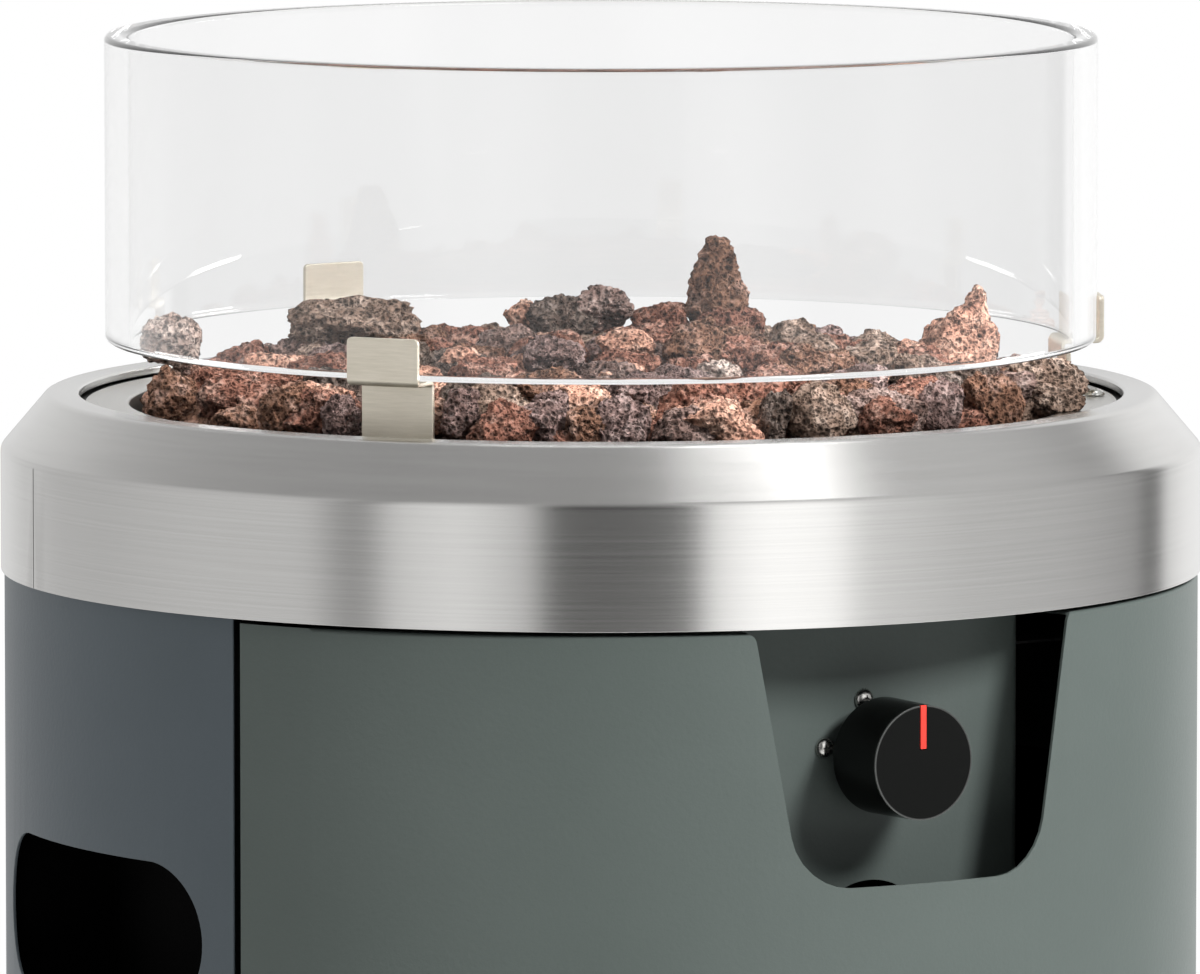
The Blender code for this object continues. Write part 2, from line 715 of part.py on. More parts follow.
# Fire pan: a flat flange under the ring's lip and a deep pit
pan_path = [
    (PAN_RADIUS, PAN_TOP),
    (PIT_RADIUS, PAN_TOP),
    (PIT_RADIUS, PIT_FLOOR),
    (MIXER_RADIUS + SEAT_GAP + SEAT_GAP, PIT_FLOOR),
]
burner_pan = turned("burner_pan", sheet(pan_path, PAN_SHEET), brushed_steel)
bracket_angles = [STRIP_FIRST_ANGLE + THIRD_OF_TURN * number for number in range(3)]
pan_cutters = []
deck_cutters = []
screw_top = PAN_TOP + SEAT_GAP
screw_end = screw_top - SCREW_LENGTH
for number, angle in enumerate(bracket_angles):
    hole = rod(f"pan_screw_hole_{number}", SCREW_RADIUS + SEAT_GAP, screw_end, screw_top)
    hole.location = polar(PAN_SCREW_CIRCLE_RADIUS, angle)
    pan_cutters.append(hole)
    deck_cutters.append(hole)
for number in range(PAN_DRAIN_COUNT):
    drain = rod(f"pan_drain_{number}", PAN_DRAIN_RADIUS, PIT_FLOOR - OVERRUN, PIT_FLOOR + OVERRUN)
    drain_angle = THIRD_OF_TURN * (number + 0.5) + STRIP_FIRST_ANGLE
    drain.location = polar(PAN_DRAIN_CIRCLE_RADIUS, drain_angle)
    pan_cutters.append(drain)


def screw_profile(seat, length, head_radius, head_height, shank_radius):
    """A round-headed screw that stands on a seat height, with its shank below."""
    dome = []
    for step in range(HEAD_STEPS + 1):
        turn = math.pi / 2 * step / HEAD_STEPS
        dome.append((head_radius * math.cos(turn), seat + head_height * math.sin(turn)))
    return [(0.0, seat - length), (shank_radius, seat - length), (shank_radius, seat)] + dome


for number, angle in enumerate(bracket_angles):
    profile = screw_profile(screw_top, SCREW_LENGTH, SCREW_HEAD_RADIUS, SCREW_HEAD_HEIGHT, SCREW_RADIUS)
    pan_screw = turned(f"pan_screw_{number + 1}", profile, bright_steel, PIN_STEPS)
    pan_screw.location = polar(PAN_SCREW_CIRCLE_RADIUS, angle)

# Shelf between fire bowl and bottle bay, cut back behind the door and the front panel
heat_shield = turned(
    "heat_shield",
    sheet(
        [
            (FITTED_RADIUS, SHIELD_TOP - SHIELD_RIM),
            (FITTED_RADIUS, SHIELD_TOP),
            (MIXER_RADIUS + SHIELD_TUBE_GAP, SHIELD_TOP),
        ],
        SHIELD_SHEET,
    ),
    black_paint,
)
shield_bottom = SHIELD_TOP - SHIELD_RIM - OVERRUN
post_clear_angle = POST_ANGLE + math.degrees((POST_FACE / 2 + POST_SHEET) / CASING_INNER)
door_sweep_outline = arc(SHIELD_FRONT_RADIUS, -post_clear_angle, post_clear_angle)
door_sweep_outline += arc(beyond, -post_clear_angle, post_clear_angle)[::-1]
shield_cutters = [
    extruded("shield_door_cut", door_sweep_outline, shield_bottom, SHIELD_TOP + OVERRUN),
    box(
        "shield_panel_notch",
        (-SHIELD_NOTCH_HALF, -beyond, shield_bottom),
        (SHIELD_NOTCH_HALF, -(PANEL_BACK - SEAT_GAP), SHIELD_TOP + OVERRUN),
    ),
]
boolean(heat_shield, shield_cutters)

# Posts behind the two edges of the door opening
post_bottom = BASE_BOTTOM + BASE_RIM + SEAT_GAP
post_top = DECK_SHOULDER_TOP - DECK_RIM - SEAT_GAP
casing_flat = CASING_INNER * math.cos(math.pi / ROUND_STEPS)
post_skin = math.sqrt((casing_flat - SEAT_GAP) ** 2 - (POST_FACE / 2) ** 2)
for side, post_name in ((-1, "post_left"), (1, "post_right")):
    inner_end = post_skin - POST_DEPTH
    far_edge = side * POST_FACE / 2
    post_outline = [
        (-far_edge, -post_skin),
        (far_edge, -post_skin),
        (far_edge, -inner_end),
        (far_edge - side * POST_SHEET, -inner_end),
        (far_edge - side * POST_SHEET, -(post_skin - POST_SHEET)),
        (-far_edge, -(post_skin - POST_SHEET)),
    ]
    post = extruded(post_name, post_outline, post_bottom, post_top, black_paint)
    turn_to(post, side * POST_ANGLE)

# A black cup behind each hand slot keeps fingers off the gas bottle
cup_front_angle = POST_ANGLE + math.degrees((POST_FACE / 2 + SEAT_GAP + SEAT_GAP) / casing_flat)
cup_rear_angle = SLOT_ANGLE + math.degrees((SLOT_LENGTH / 2 + CUP_REAR_MARGIN) / CASING_INNER)
cup_back = FITTED_RADIUS - CUP_DEPTH
cup_wall_angle = math.degrees(CUP_SHEET / cup_back)
cup_half_height = SLOT_HEIGHT / 2 + CUP_RISE
for side, cup_name in ((-1, "hand_cup_left"), (1, "hand_cup_right")):
    cup_ends = sorted((side * cup_front_angle, side * cup_rear_angle))
    hollow_ends = (cup_ends[0] + cup_wall_angle, cup_ends[1] - cup_wall_angle)
    cup_outline = arc(FITTED_RADIUS, *cup_ends) + arc(cup_back, *cup_ends)[::-1]
    hollow_outline = arc(beyond, *hollow_ends) + arc(cup_back + CUP_SHEET, *hollow_ends)[::-1]
    cup_levels = (slot_height - cup_half_height, slot_height + cup_half_height)
    hollow_levels = (cup_levels[0] + CUP_SHEET, cup_levels[1] - CUP_SHEET)
    hand_cup = extruded(cup_name, cup_outline, *cup_levels, black_plastic)
    boolean(hand_cup, [extruded(f"{cup_name}_hollow", hollow_outline, *hollow_levels)])

# Magnetic catch: an arm from the left post that carries a block behind the door's free edge
door_inner_flat = casing_flat - SEAT_GAP - SEAT_GAP
arm_root = -(POST_FACE / 2 - POST_SHEET - SEAT_GAP)
arm_inner = post_skin - POST_DEPTH
face_steps = range(MAGNET_FACE_STEPS + 1)
face_offsets = [MAGNET_REACH - MAGNET_WIDTH * step / MAGNET_FACE_STEPS for step in face_steps]
magnet_outline = [(arm_root, -arm_inner), (MAGNET_REACH, -arm_inner)]
magnet_outline += [(offset, -math.sqrt(door_inner_flat ** 2 - offset ** 2)) for offset in face_offsets]
magnet_outline += [(side, -(arm_inner + MAGNET_ARM)) for side in (MAGNET_REACH - MAGNET_WIDTH, arm_root)]
magnet_bottom = MAGNET_HEIGHT - MAGNET_LENGTH / 2
magnet_top = MAGNET_HEIGHT + MAGNET_LENGTH / 2
magnet_catch = extruded("magnet_catch", magnet_outline, magnet_bottom, magnet_top, black_plastic)
turn_to(magnet_catch, -POST_ANGLE)

# Door leaf: a rolled sheet with returns at both sides, flanges at top and bottom and the knob cut-out
return_radius = CASING_RADIUS - DOOR_RETURN
return_ends = [on_facet(return_radius, angle) for angle in (-DOOR_HALF_ANGLE, DOOR_HALF_ANGLE)]
door_path = return_ends[:1] + arc(CASING_RADIUS, -DOOR_HALF_ANGLE, DOOR_HALF_ANGLE) + return_ends[1:]
door_panel = extruded("door_panel", sheet(door_path, CASING_SHEET), DOOR_BOTTOM, DOOR_TOP, grey_paint)
flange_outer = CASING_RADIUS - CASING_SHEET / 2
flange_free_angle = -DOOR_HALF_ANGLE + math.degrees(DOOR_FLANGE_SETBACK / CASING_RADIUS)
flange_pin_angle = HINGE_ANGLE + math.degrees(DOOR_FLANGE_PIN_END / HINGE_RADIUS)
flange_outline = arc(CASING_RADIUS - DOOR_FLANGE, flange_free_angle, flange_pin_angle)
flange_outline += arc(flange_outer, flange_free_angle, flange_pin_angle)[::-1]
upper_flange_top = DOOR_TOP - DOOR_FLANGE_INSET
lower_flange_bottom = DOOR_BOTTOM + DOOR_FLANGE_INSET
door_flanges = [
    extruded("door_upper_flange", flange_outline, upper_flange_top - CASING_SHEET, upper_flange_top),
    extruded("door_lower_flange", flange_outline, lower_flange_bottom, lower_flange_bottom + CASING_SHEET),
]
boolean(door_panel, door_flanges, "UNION")
pocket_path = [
    (-POCKET_TOP_HALF - POCKET_SHOULDER_LENGTH, DOOR_TOP + OVERRUN),
    (-POCKET_TOP_HALF - POCKET_SHOULDER_LENGTH, DOOR_TOP + SEAT_GAP),
    (-POCKET_TOP_HALF, DOOR_TOP + SEAT_GAP),
    (-POCKET_BOTTOM_HALF, DOOR_TOP - POCKET_DEPTH),
    (POCKET_BOTTOM_HALF, DOOR_TOP - POCKET_DEPTH),
    (POCKET_TOP_HALF, DOOR_TOP + SEAT_GAP),
    (POCKET_TOP_HALF + POCKET_SHOULDER_LENGTH, DOOR_TOP + SEAT_GAP),
    (POCKET_TOP_HALF + POCKET_SHOULDER_LENGTH, DOOR_TOP + OVERRUN),
]
pocket_path = rounded(pocket_path, POCKET_CORNER, POCKET_CORNER_STEPS, corners=(3, 4))
shoulders = (2, len(pocket_path) - 3)
pocket_path = rounded(pocket_path, POCKET_SHOULDER, POCKET_SHOULDER_STEPS, corners=shoulders)
pocket_outline = [(math.degrees(across / CASING_RADIUS), height) for across, height in pocket_path]
pocket_cutter = wall_cutter("pocket_cutter", pocket_outline, slot_inner, slot_outer)
pin_axis = polar(HINGE_RADIUS, HINGE_ANGLE)
pin_hole_ends = (DOOR_BOTTOM - HINGE_UPPER_LEG, OPENING_TOP + HINGE_UPPER_LEG)
pin_hole = rod("pin_hole", PIN_RADIUS + SEAT_GAP, *pin_hole_ends)
pin_hole.location = pin_axis
boolean(door_panel, [pocket_cutter, pin_hole])
move_origin(door_panel, pin_axis)

# Hinge brackets and pins; the upper bracket hangs inside the hoop and the lower one stands on the base plate
bracket_skin = math.sqrt((casing_flat - SEAT_GAP) ** 2 - (HINGE_WIDTH / 2) ** 2)
upper_plate = OPENING_TOP + HINGE_UPPER_LIFT
hinge_bracket_upper = strip(
    "hinge_bracket_upper",
    [
        (HINGE_RADIUS - HINGE_REACH, upper_plate),
        (bracket_skin, upper_plate),
        (bracket_skin, upper_plate + HINGE_UPPER_LEG),
    ],
    HINGE_SHEET,
    HINGE_WIDTH,
    black_paint,
)
lower_plate_top = PLINTH_TOP - SEAT_GAP
lower_leg = HINGE_RADIUS - HINGE_REACH
hinge_bracket_lower = strip(
    "hinge_bracket_lower",
    [
        (bracket_skin, lower_plate_top),
        (lower_leg, lower_plate_top),
        (lower_leg, BASE_TOP + SEAT_GAP),
    ],
    HINGE_SHEET,
    HINGE_WIDTH,
    black_paint,
)
for bracket in (hinge_bracket_upper, hinge_bracket_lower):
    turn_to(bracket, HINGE_ANGLE)
    boolean(bracket, [pin_hole])

upper_seat = upper_flange_top - CASING_SHEET - SEAT_GAP
upper_pin_profile = [
    (0.0, upper_seat - PIN_HEAD_HEIGHT),
    (PIN_HEAD_RADIUS, upper_seat - PIN_HEAD_HEIGHT),
    (PIN_HEAD_RADIUS, upper_seat),
    (PIN_RADIUS, upper_seat),
    (PIN_RADIUS, upper_plate + 2 * HINGE_SHEET),
    (0.0, upper_plate + 2 * HINGE_SHEET),
]
lower_seat = lower_flange_bottom + CASING_SHEET + SEAT_GAP
lower_pin_profile = [
    (0.0, lower_seat + PIN_HEAD_HEIGHT),
    (PIN_HEAD_RADIUS, lower_seat + PIN_HEAD_HEIGHT),
    (PIN_HEAD_RADIUS, lower_seat),
    (PIN_RADIUS, lower_seat),
    (PIN_RADIUS, lower_plate_top - 2 * HINGE_SHEET),
    (0.0, lower_plate_top - 2 * HINGE_SHEET),
]
for pin_name, profile in (("hinge_pin_upper", upper_pin_profile), ("hinge_pin_lower", lower_pin_profile)):
    pin = turned(pin_name, profile, bright_steel, PIN_STEPS)
    pin.location = pin_axis

# Ring burner: a round pipe with a cross arm and a hub that takes the mixing tube
burner_profile = circle_points(BURNER_PIPE_RADIUS, BURNER_MINOR_STEPS, (BURNER_RADIUS, BURNER_LEVEL))
burner_ring = turned("burner_ring", burner_profile, bright_steel, BURNER_MAJOR_STEPS)
arm_outline = circle_points(BURNER_ARM_RADIUS, BURNER_MINOR_STEPS, first_share=0.5)
burner_arm = extruded("burner_arm", arm_outline, -BURNER_RADIUS, BURNER_RADIUS)
burner_arm.rotation_euler.y = math.pi / 2
burner_arm.location.z = BURNER_LEVEL
hub_bottom = PIT_FLOOR + SEAT_GAP
hub = rod("burner_hub", HUB_RADIUS, hub_bottom, hub_bottom + HUB_HEIGHT, steps=PIPE_STEPS)
socket_top = hub_bottom + HUB_SOCKET
socket = rod("hub_socket", MIXER_RADIUS + SEAT_GAP, hub_bottom - OVERRUN, socket_top, steps=PIPE_STEPS)
boolean(burner_ring, [burner_arm, hub], "UNION")
boolean(burner_ring, [socket])

# Mixing tube with four air windows, its lock nut under the pan, and the shutter round the windows
mixer_tube = turned(
    "mixer_tube",
    [
        (MIXER_RADIUS - MIXER_WALL, MIXER_BOTTOM),
        (MIXER_RADIUS, MIXER_BOTTOM),
        (MIXER_RADIUS, MIXER_TOP),
        (MIXER_RADIUS - MIXER_WALL, MIXER_TOP),
    ],
    bright_steel,
    PIPE_STEPS,
)
windows = []
for number in range(2):
    window = rod(f"air_window_{number}", WINDOW_RADIUS, -MIXER_RADIUS - OVERRUN, MIXER_RADIUS + OVERRUN)
    window_angle = QUARTER_OF_TURN * number + FULL_TURN / PIPE_STEPS / 2
    window.rotation_euler = (math.pi / 2, 0.0, math.radians(window_angle))
    window.location.z = MIXER_BOTTOM + WINDOW_RISE
    windows.append(window)
boolean(mixer_tube, windows)
nut_top = PIT_FLOOR - PAN_SHEET - SEAT_GAP
nut_outline = circle_points(NUT_RADIUS, NUT_SIDES)
mixer_nut = extruded("mixer_nut", nut_outline, nut_top - NUT_HEIGHT, nut_top, bright_steel)
bore_bottom = nut_top - NUT_HEIGHT - OVERRUN
nut_bore = rod("nut_bore", MIXER_RADIUS + SEAT_GAP, bore_bottom, nut_top + OVERRUN, steps=PIPE_STEPS)
boolean(mixer_nut, [nut_bore])
shutter_bottom = MIXER_BOTTOM + SHUTTER_RISE
shutter_inner = MIXER_RADIUS + SEAT_GAP
turned(
    "air_shutter",
    [
        (shutter_inner, shutter_bottom),
        (shutter_inner + SHUTTER_WALL, shutter_bottom),
        (shutter_inner + SHUTTER_WALL, shutter_bottom + SHUTTER_HEIGHT),
        (shutter_inner, shutter_bottom + SHUTTER_HEIGHT),
    ],
    bright_steel,
    PIPE_STEPS,
)

# Brass injector in the foot of the mixing tube, fed by a bent copper pipe
collar_bottom = MIXER_BOTTOM - INJECTOR_RISE
collar_top = collar_bottom + INJECTOR_COLLAR
socket_radius = FEED_RADIUS + SEAT_GAP
turned(
    "injector",
    [
        (socket_radius, INJECTOR_BOTTOM),
        (INJECTOR_STUB_RADIUS, INJECTOR_BOTTOM),
        (INJECTOR_STUB_RADIUS, collar_bottom),
        (MIXER_RADIUS - MIXER_WALL - SEAT_GAP, collar_bottom),
        (MIXER_RADIUS - MIXER_WALL - SEAT_GAP, collar_top),
        (INJECTOR_NOZZLE_RADIUS, collar_top),
        (INJECTOR_TIP_RADIUS, collar_top + INJECTOR_NOZZLE),
        (0.0, collar_top + INJECTOR_NOZZLE),
        (0.0, INJECTOR_BOTTOM + FEED_SOCKET),
        (socket_radius, INJECTOR_BOTTOM + FEED_SOCKET),
    ],
    brass,
    PIPE_STEPS,
)


def feed_route():
    """Centre line of the pipe: back from the valve, then one bend up into the injector."""
    points = [Vector((0.0, -(OUTLET_BACK + FEED_SOCKET - SEAT_GAP), OUTLET_HEIGHT))]
    for step in range(FEED_BEND_STEPS + 1):
        turn = math.pi / 2 * step / FEED_BEND_STEPS
        along = -FEED_BEND * (1 - math.sin(turn))
        points.append(Vector((0.0, along, OUTLET_HEIGHT + FEED_BEND * (1 - math.cos(turn)))))
    points.append(Vector((0.0, 0.0, INJECTOR_BOTTOM + FEED_SOCKET - SEAT_GAP)))
    return points


def pipe(name, points, radius, resolution, look):
    """A round bar along a line of points, with flat ends."""
    curve = bpy.data.curves.new(name, "CURVE")
    curve.dimensions = "3D"
    curve.bevel_depth = radius
    curve.bevel_resolution = resolution
    curve.use_fill_caps = True
    spline = curve.splines.new("POLY")
    spline.points.add(len(points) - 1)
    for knot, point in zip(spline.points, points):
        knot.co = (*point, 1.0)
    curve.materials.append(look)
    made = bpy.data.objects.new(name, curve)
    bpy.context.collection.objects.link(made)
    return made


pipe("feed_pipe", feed_route(), FEED_RADIUS, 2, copper)

# Igniter and thermocouple on a small bracket beside the burner
sensor_foot = PIT_FLOOR + SEAT_GAP
sensor_web = SENSOR_INNER + SENSOR_WEB
sensor_plate = sensor_foot + SENSOR_RISE
sensor_bracket = strip(
    "sensor_bracket",
    [
        (SENSOR_INNER, sensor_plate),
        (sensor_web, sensor_plate),
        (sensor_web, sensor_foot),
        (sensor_web + SENSOR_FOOT, sensor_foot),
    ],
    SENSOR_SHEET,
    SENSOR_WIDTH,
    bright_steel,
)
turn_to(sensor_bracket, SENSOR_ANGLE)


def sensor_profile(radius, tip_radius, above, tip):
    """A rod with a collar that rests on the bracket and a thinner tip."""
    seat = sensor_plate + SENSOR_SHEET + SEAT_GAP
    return [
        (0.0, sensor_plate - SENSOR_BELOW),
        (radius, sensor_plate - SENSOR_BELOW),
        (radius, seat),
        (radius + SENSOR_COLLAR, seat),
        (radius + SENSOR_COLLAR, seat + SENSOR_COLLAR_HEIGHT),
        (radius, seat + SENSOR_COLLAR_HEIGHT),
        (radius, seat + above - tip),
        (tip_radius, seat + above - tip),
        (tip_radius, seat + above),
        (0.0, seat + above),
    ]


sensor_middle = polar(SENSOR_INNER + SENSOR_HOLE_INSET, SENSOR_ANGLE)
sensor_side = polar(SENSOR_SPACING, SENSOR_ANGLE + QUARTER_OF_TURN)
sensors = (
    ("igniter_electrode", -1, ELECTRODE_RADIUS, ELECTRODE_WIRE_RADIUS, ELECTRODE_ABOVE, ceramic),
    ("thermocouple", 1, THERMOCOUPLE_RADIUS, THERMOCOUPLE_TIP_RADIUS, THERMOCOUPLE_ABOVE, copper),
)
for sensor_name, side, radius, tip_radius, above, look in sensors:
    place = sensor_middle + side * sensor_side
    profile = sensor_profile(radius, tip_radius, above, ELECTRODE_WIRE)
    sensor = turned(sensor_name, profile, look, PIN_STEPS)
    sensor.location = place
    hole = rod(f"{sensor_name}_hole", radius + SEAT_GAP, sensor_plate - OVERRUN, sensor_plate + OVERRUN)
    hole.location = place
    boolean(sensor_bracket, [hole])

# Front panel: a flat plate with side returns, an arch for the hose and holes for the valve
panel_path = rounded(
    [
        (-PANEL_HALF_WIDTH, -(PANEL_FACE - PANEL_RETURN)),
        (-PANEL_HALF_WIDTH, -PANEL_FACE),
        (PANEL_HALF_WIDTH, -PANEL_FACE),
        (PANEL_HALF_WIDTH, -(PANEL_FACE - PANEL_RETURN)),
    ],
    PANEL_BEND,
    BEND_STEPS + 1,
)
panel_bottom = RING_EDGE_HEIGHT - PANEL_BELOW_RING
panel_top = RING_EDGE_HEIGHT + PANEL_ABOVE_RING
control_panel = extruded("control_panel", sheet(panel_path, PANEL_SHEET), panel_bottom, panel_top, grey_paint)
hole_ends = (PANEL_BACK - OVERRUN, PANEL_FACE + OVERRUN)
panel_arch = extruded("panel_arch", circle_points(PANEL_ARCH_RADIUS, PIPE_STEPS), *hole_ends)
panel_arch.rotation_euler.x = math.pi / 2
panel_arch.location.z = panel_bottom
shelf_relief = box(
    "shelf_relief",
    (-PANEL_HALF_WIDTH - OVERRUN, -(PANEL_BACK + SEAT_GAP), SHIELD_TOP - SHIELD_SHEET - SEAT_GAP),
    (PANEL_HALF_WIDTH + OVERRUN, 0.0, panel_top + OVERRUN),
)

# Gas valve group: every piece is turned or built about the knob's axis, which points out of the front
gas_axis = empty("gas_axis", (0.0, 0.0, KNOB_HEIGHT), (math.pi / 2, 0.0, 0.0))


def on_gas_axis(made, distance=0.0):
    """Hangs a piece on the knob's axis, with its origin at a distance from the drum's axis."""
    for vertex in made.data.vertices:
        vertex.co.z -= distance
    made.parent = gas_axis
    made.location.z = distance
    return made


neck_hole = on_gas_axis(rod("neck_hole", BONNET_NECK_RADIUS + SEAT_GAP, *hole_ends, steps=PIPE_STEPS))
screw_holes = []
valve_screw_seat = PANEL_FACE + SEAT_GAP
valve_screw_hole_ends = (BONNET_BACK - OVERRUN, PANEL_FACE + OVERRUN)
valve_screw_profile = screw_profile(
    valve_screw_seat, VALVE_SCREW_LENGTH, SCREW_HEAD_RADIUS, SCREW_HEAD_HEIGHT, SCREW_RADIUS
)
for number, angle in enumerate(VALVE_SCREW_ANGLES):
    turn = math.radians(angle)
    offset = (VALVE_SCREW_CIRCLE_RADIUS * math.cos(turn), VALVE_SCREW_CIRCLE_RADIUS * math.sin(turn))
    hole = on_gas_axis(rod(f"valve_screw_hole_{number}", SCREW_RADIUS + SEAT_GAP, *valve_screw_hole_ends))
    hole.location.xy = offset
    screw_holes.append(hole)
    valve_screw = turned(f"valve_screw_{number + 1}", valve_screw_profile, bright_steel, PIN_STEPS)
    on_gas_axis(valve_screw).location.xy = offset
boolean(control_panel, [panel_arch, shelf_relief, neck_hole] + screw_holes)

valve_bonnet = on_gas_axis(
    turned(
        "valve_bonnet",
        [
            (BONNET_BORE_RADIUS, BONNET_BACK),
            (BONNET_RADIUS, BONNET_BACK),
            (BONNET_RADIUS, BONNET_FRONT),
            (BONNET_NECK_RADIUS, BONNET_FRONT),
            (BONNET_NECK_RADIUS, NECK_FRONT),
            (BONNET_LIP_RADIUS, NECK_FRONT),
            (BONNET_LIP_RADIUS, LIP_BACK),
            (BONNET_BORE_RADIUS, LIP_BACK),
        ],
        bright_steel,
        PIPE_STEPS,
    )
)
boolean(valve_bonnet, screw_holes)

valve_body = on_gas_axis(rod("valve_body", BARREL_RADIUS, BARREL_BACK, BARREL_FRONT, brass, PIPE_STEPS))
valve_block = on_gas_axis(
    box(
        "valve_block",
        (-BLOCK_HALF_WIDTH, -BLOCK_DROP, BLOCK_BACK),
        (BLOCK_HALF_WIDTH, -BLOCK_TOP_DROP, BLOCK_BACK + BLOCK_LENGTH),
    )
)
valve_outlet = on_gas_axis(rod("valve_outlet", OUTLET_RADIUS, OUTLET_BACK, BLOCK_MIDDLE))
outlet_bore_ends = (OUTLET_BACK - OVERRUN, OUTLET_BACK + FEED_SOCKET)
outlet_bore = rod("outlet_bore", FEED_RADIUS + SEAT_GAP, *outlet_bore_ends, steps=PIPE_STEPS)
on_gas_axis(outlet_bore)
for port in (valve_outlet, outlet_bore):
    port.location.y = -OUTLET_DROP
spring_well = on_gas_axis(rod("spring_well", BONNET_BORE_RADIUS, WELL_BOTTOM, BARREL_FRONT + OVERRUN))
stem_tail = BONNET_BACK - STEM_TAIL + BONNET_FLANGE
stem_bore_end = stem_tail - PUSH_TRAVEL - SEAT_GAP
stem_bore = on_gas_axis(rod("stem_bore", STEM_RADIUS + SEAT_GAP, stem_bore_end, WELL_BOTTOM + OVERRUN))
inlet_bore_top = INLET_TOP + INLET_SPIGOT + SEAT_GAP
inlet_bore = rod("inlet_bore", INLET_SPIGOT_RADIUS + SEAT_GAP, INLET_TOP - OVERRUN, inlet_bore_top)
inlet_bore.location.y = -BLOCK_MIDDLE
boolean(valve_body, [valve_block, valve_outlet], "UNION")
boolean(valve_body, [spring_well, stem_bore, outlet_bore, inlet_bore])

inlet_seat = INLET_TOP - SEAT_GAP
valve_inlet = turned(
    "valve_inlet",
    [
        (0.0, inlet_seat - INLET_COLLAR),
        (INLET_BORE_RADIUS, inlet_seat - INLET_COLLAR),
        (INLET_BORE_RADIUS, inlet_seat - INLET_COLLAR - INLET_STUB),
        (INLET_STUB_RADIUS, inlet_seat - INLET_COLLAR - INLET_STUB),
        (INLET_STUB_RADIUS, inlet_seat - INLET_COLLAR),
        (INLET_COLLAR_RADIUS, inlet_seat - INLET_COLLAR),
        (INLET_COLLAR_RADIUS, inlet_seat),
        (INLET_SPIGOT_RADIUS, inlet_seat),
        (INLET_SPIGOT_RADIUS, inlet_seat + INLET_SPIGOT),
        (0.0, inlet_seat + INLET_SPIGOT),
    ],
    brass,
    PIN_STEPS,
)
valve_inlet.location.y = -BLOCK_MIDDLE

# Sprung stem: the spring in its well pushes the cup against the bonnet's lip
spring_radius = (STEM_RADIUS + BONNET_BORE_RADIUS) / 2 + SEAT_GAP / 2
spring_low = WELL_BOTTOM + SPRING_WIRE_RADIUS + SEAT_GAP
spring_high = DISC_BACK - SPRING_WIRE_RADIUS - SEAT_GAP
spring_points = []
spring_steps = SPRING_TURNS * SPRING_POINTS_PER_TURN
for step in range(spring_steps + 1):
    point = Vector((spring_radius, 0.0, spring_low + (spring_high - spring_low) * step / spring_steps))
    point.rotate(Matrix.Rotation(math.tau * step / SPRING_POINTS_PER_TURN, 3, "Z"))
    spring_points.append(point)
valve_spring = pipe("valve_spring", spring_points, SPRING_WIRE_RADIUS, 0, bright_steel)
valve_spring.parent = gas_axis

on_gas_axis(
    turned(
        "spring_cup",
        [
            (STEM_RADIUS + SEAT_GAP, DISC_BACK),
            (BONNET_BORE_RADIUS - SEAT_GAP, DISC_BACK),
            (BONNET_BORE_RADIUS - SEAT_GAP, DISC_FRONT),
            (STEM_RADIUS + SEAT_GAP, DISC_FRONT),
        ],
        bright_steel,
        PIPE_STEPS,
    ),
    DISC_BACK,
)
collar_back = DISC_FRONT + SEAT_GAP
stem_end = KNOB_BACK + STEM_IN_KNOB
on_gas_axis(
    turned(
        "valve_stem",
        [
            (0.0, stem_tail),
            (STEM_RADIUS, stem_tail),
            (STEM_RADIUS, collar_back),
            (STEM_COLLAR_RADIUS, collar_back),
            (STEM_COLLAR_RADIUS, collar_back + STEM_COLLAR_LENGTH),
            (STEM_RADIUS, collar_back + STEM_COLLAR_LENGTH),
            (STEM_RADIUS, stem_end),
            (0.0, stem_end),
        ],
        bright_steel,
        PIN_STEPS,
    ),
    stem_tail,
)

# Knob: hollow behind, with a boss for the stem and a red pointer let into its face
face_radius = KNOB_RADIUS - KNOB_DRAFT
knob = on_gas_axis(
    turned(
        "knob",
        [
            (0.0, KNOB_FACE),
            (face_radius - KNOB_EDGE, KNOB_FACE),
            (face_radius, KNOB_FACE - KNOB_EDGE),
            (KNOB_RADIUS, KNOB_BACK),
            (KNOB_RADIUS - KNOB_WALL, KNOB_BACK),
            (KNOB_RADIUS - KNOB_WALL, KNOB_BACK + KNOB_RECESS),
            (KNOB_BOSS_RADIUS, KNOB_BACK + KNOB_RECESS),
            (KNOB_BOSS_RADIUS, KNOB_BACK + STEM_COLLAR_LENGTH),
            (STEM_RADIUS + SEAT_GAP, KNOB_BACK + STEM_COLLAR_LENGTH),
            (STEM_RADIUS + SEAT_GAP, stem_end + SEAT_GAP),
            (0.0, stem_end + SEAT_GAP),
        ],
        black_plastic,
        KNOB_STEPS,
    ),
    KNOB_BACK,
)
slot_half_width = POINTER_WIDTH / 2 + SEAT_GAP
slot_start = face_radius - POINTER_LENGTH - SEAT_GAP
slot_floor = KNOB_FACE - POINTER_DEPTH - SEAT_GAP
slot_corner = (slot_half_width, KNOB_RADIUS + OVERRUN, KNOB_FACE + OVERRUN)
pointer_slot = on_gas_axis(box("pointer_slot", (-slot_half_width, slot_start, slot_floor), slot_corner))
boolean(knob, [pointer_slot])
on_gas_axis(
    box(
        "knob_pointer",
        (-POINTER_WIDTH / 2, face_radius - POINTER_LENGTH, KNOB_FACE - POINTER_DEPTH),
        (POINTER_WIDTH / 2, face_radius, KNOB_FACE + POINTER_PROUD),
        red_plastic,
    ),
    KNOB_BACK,
)

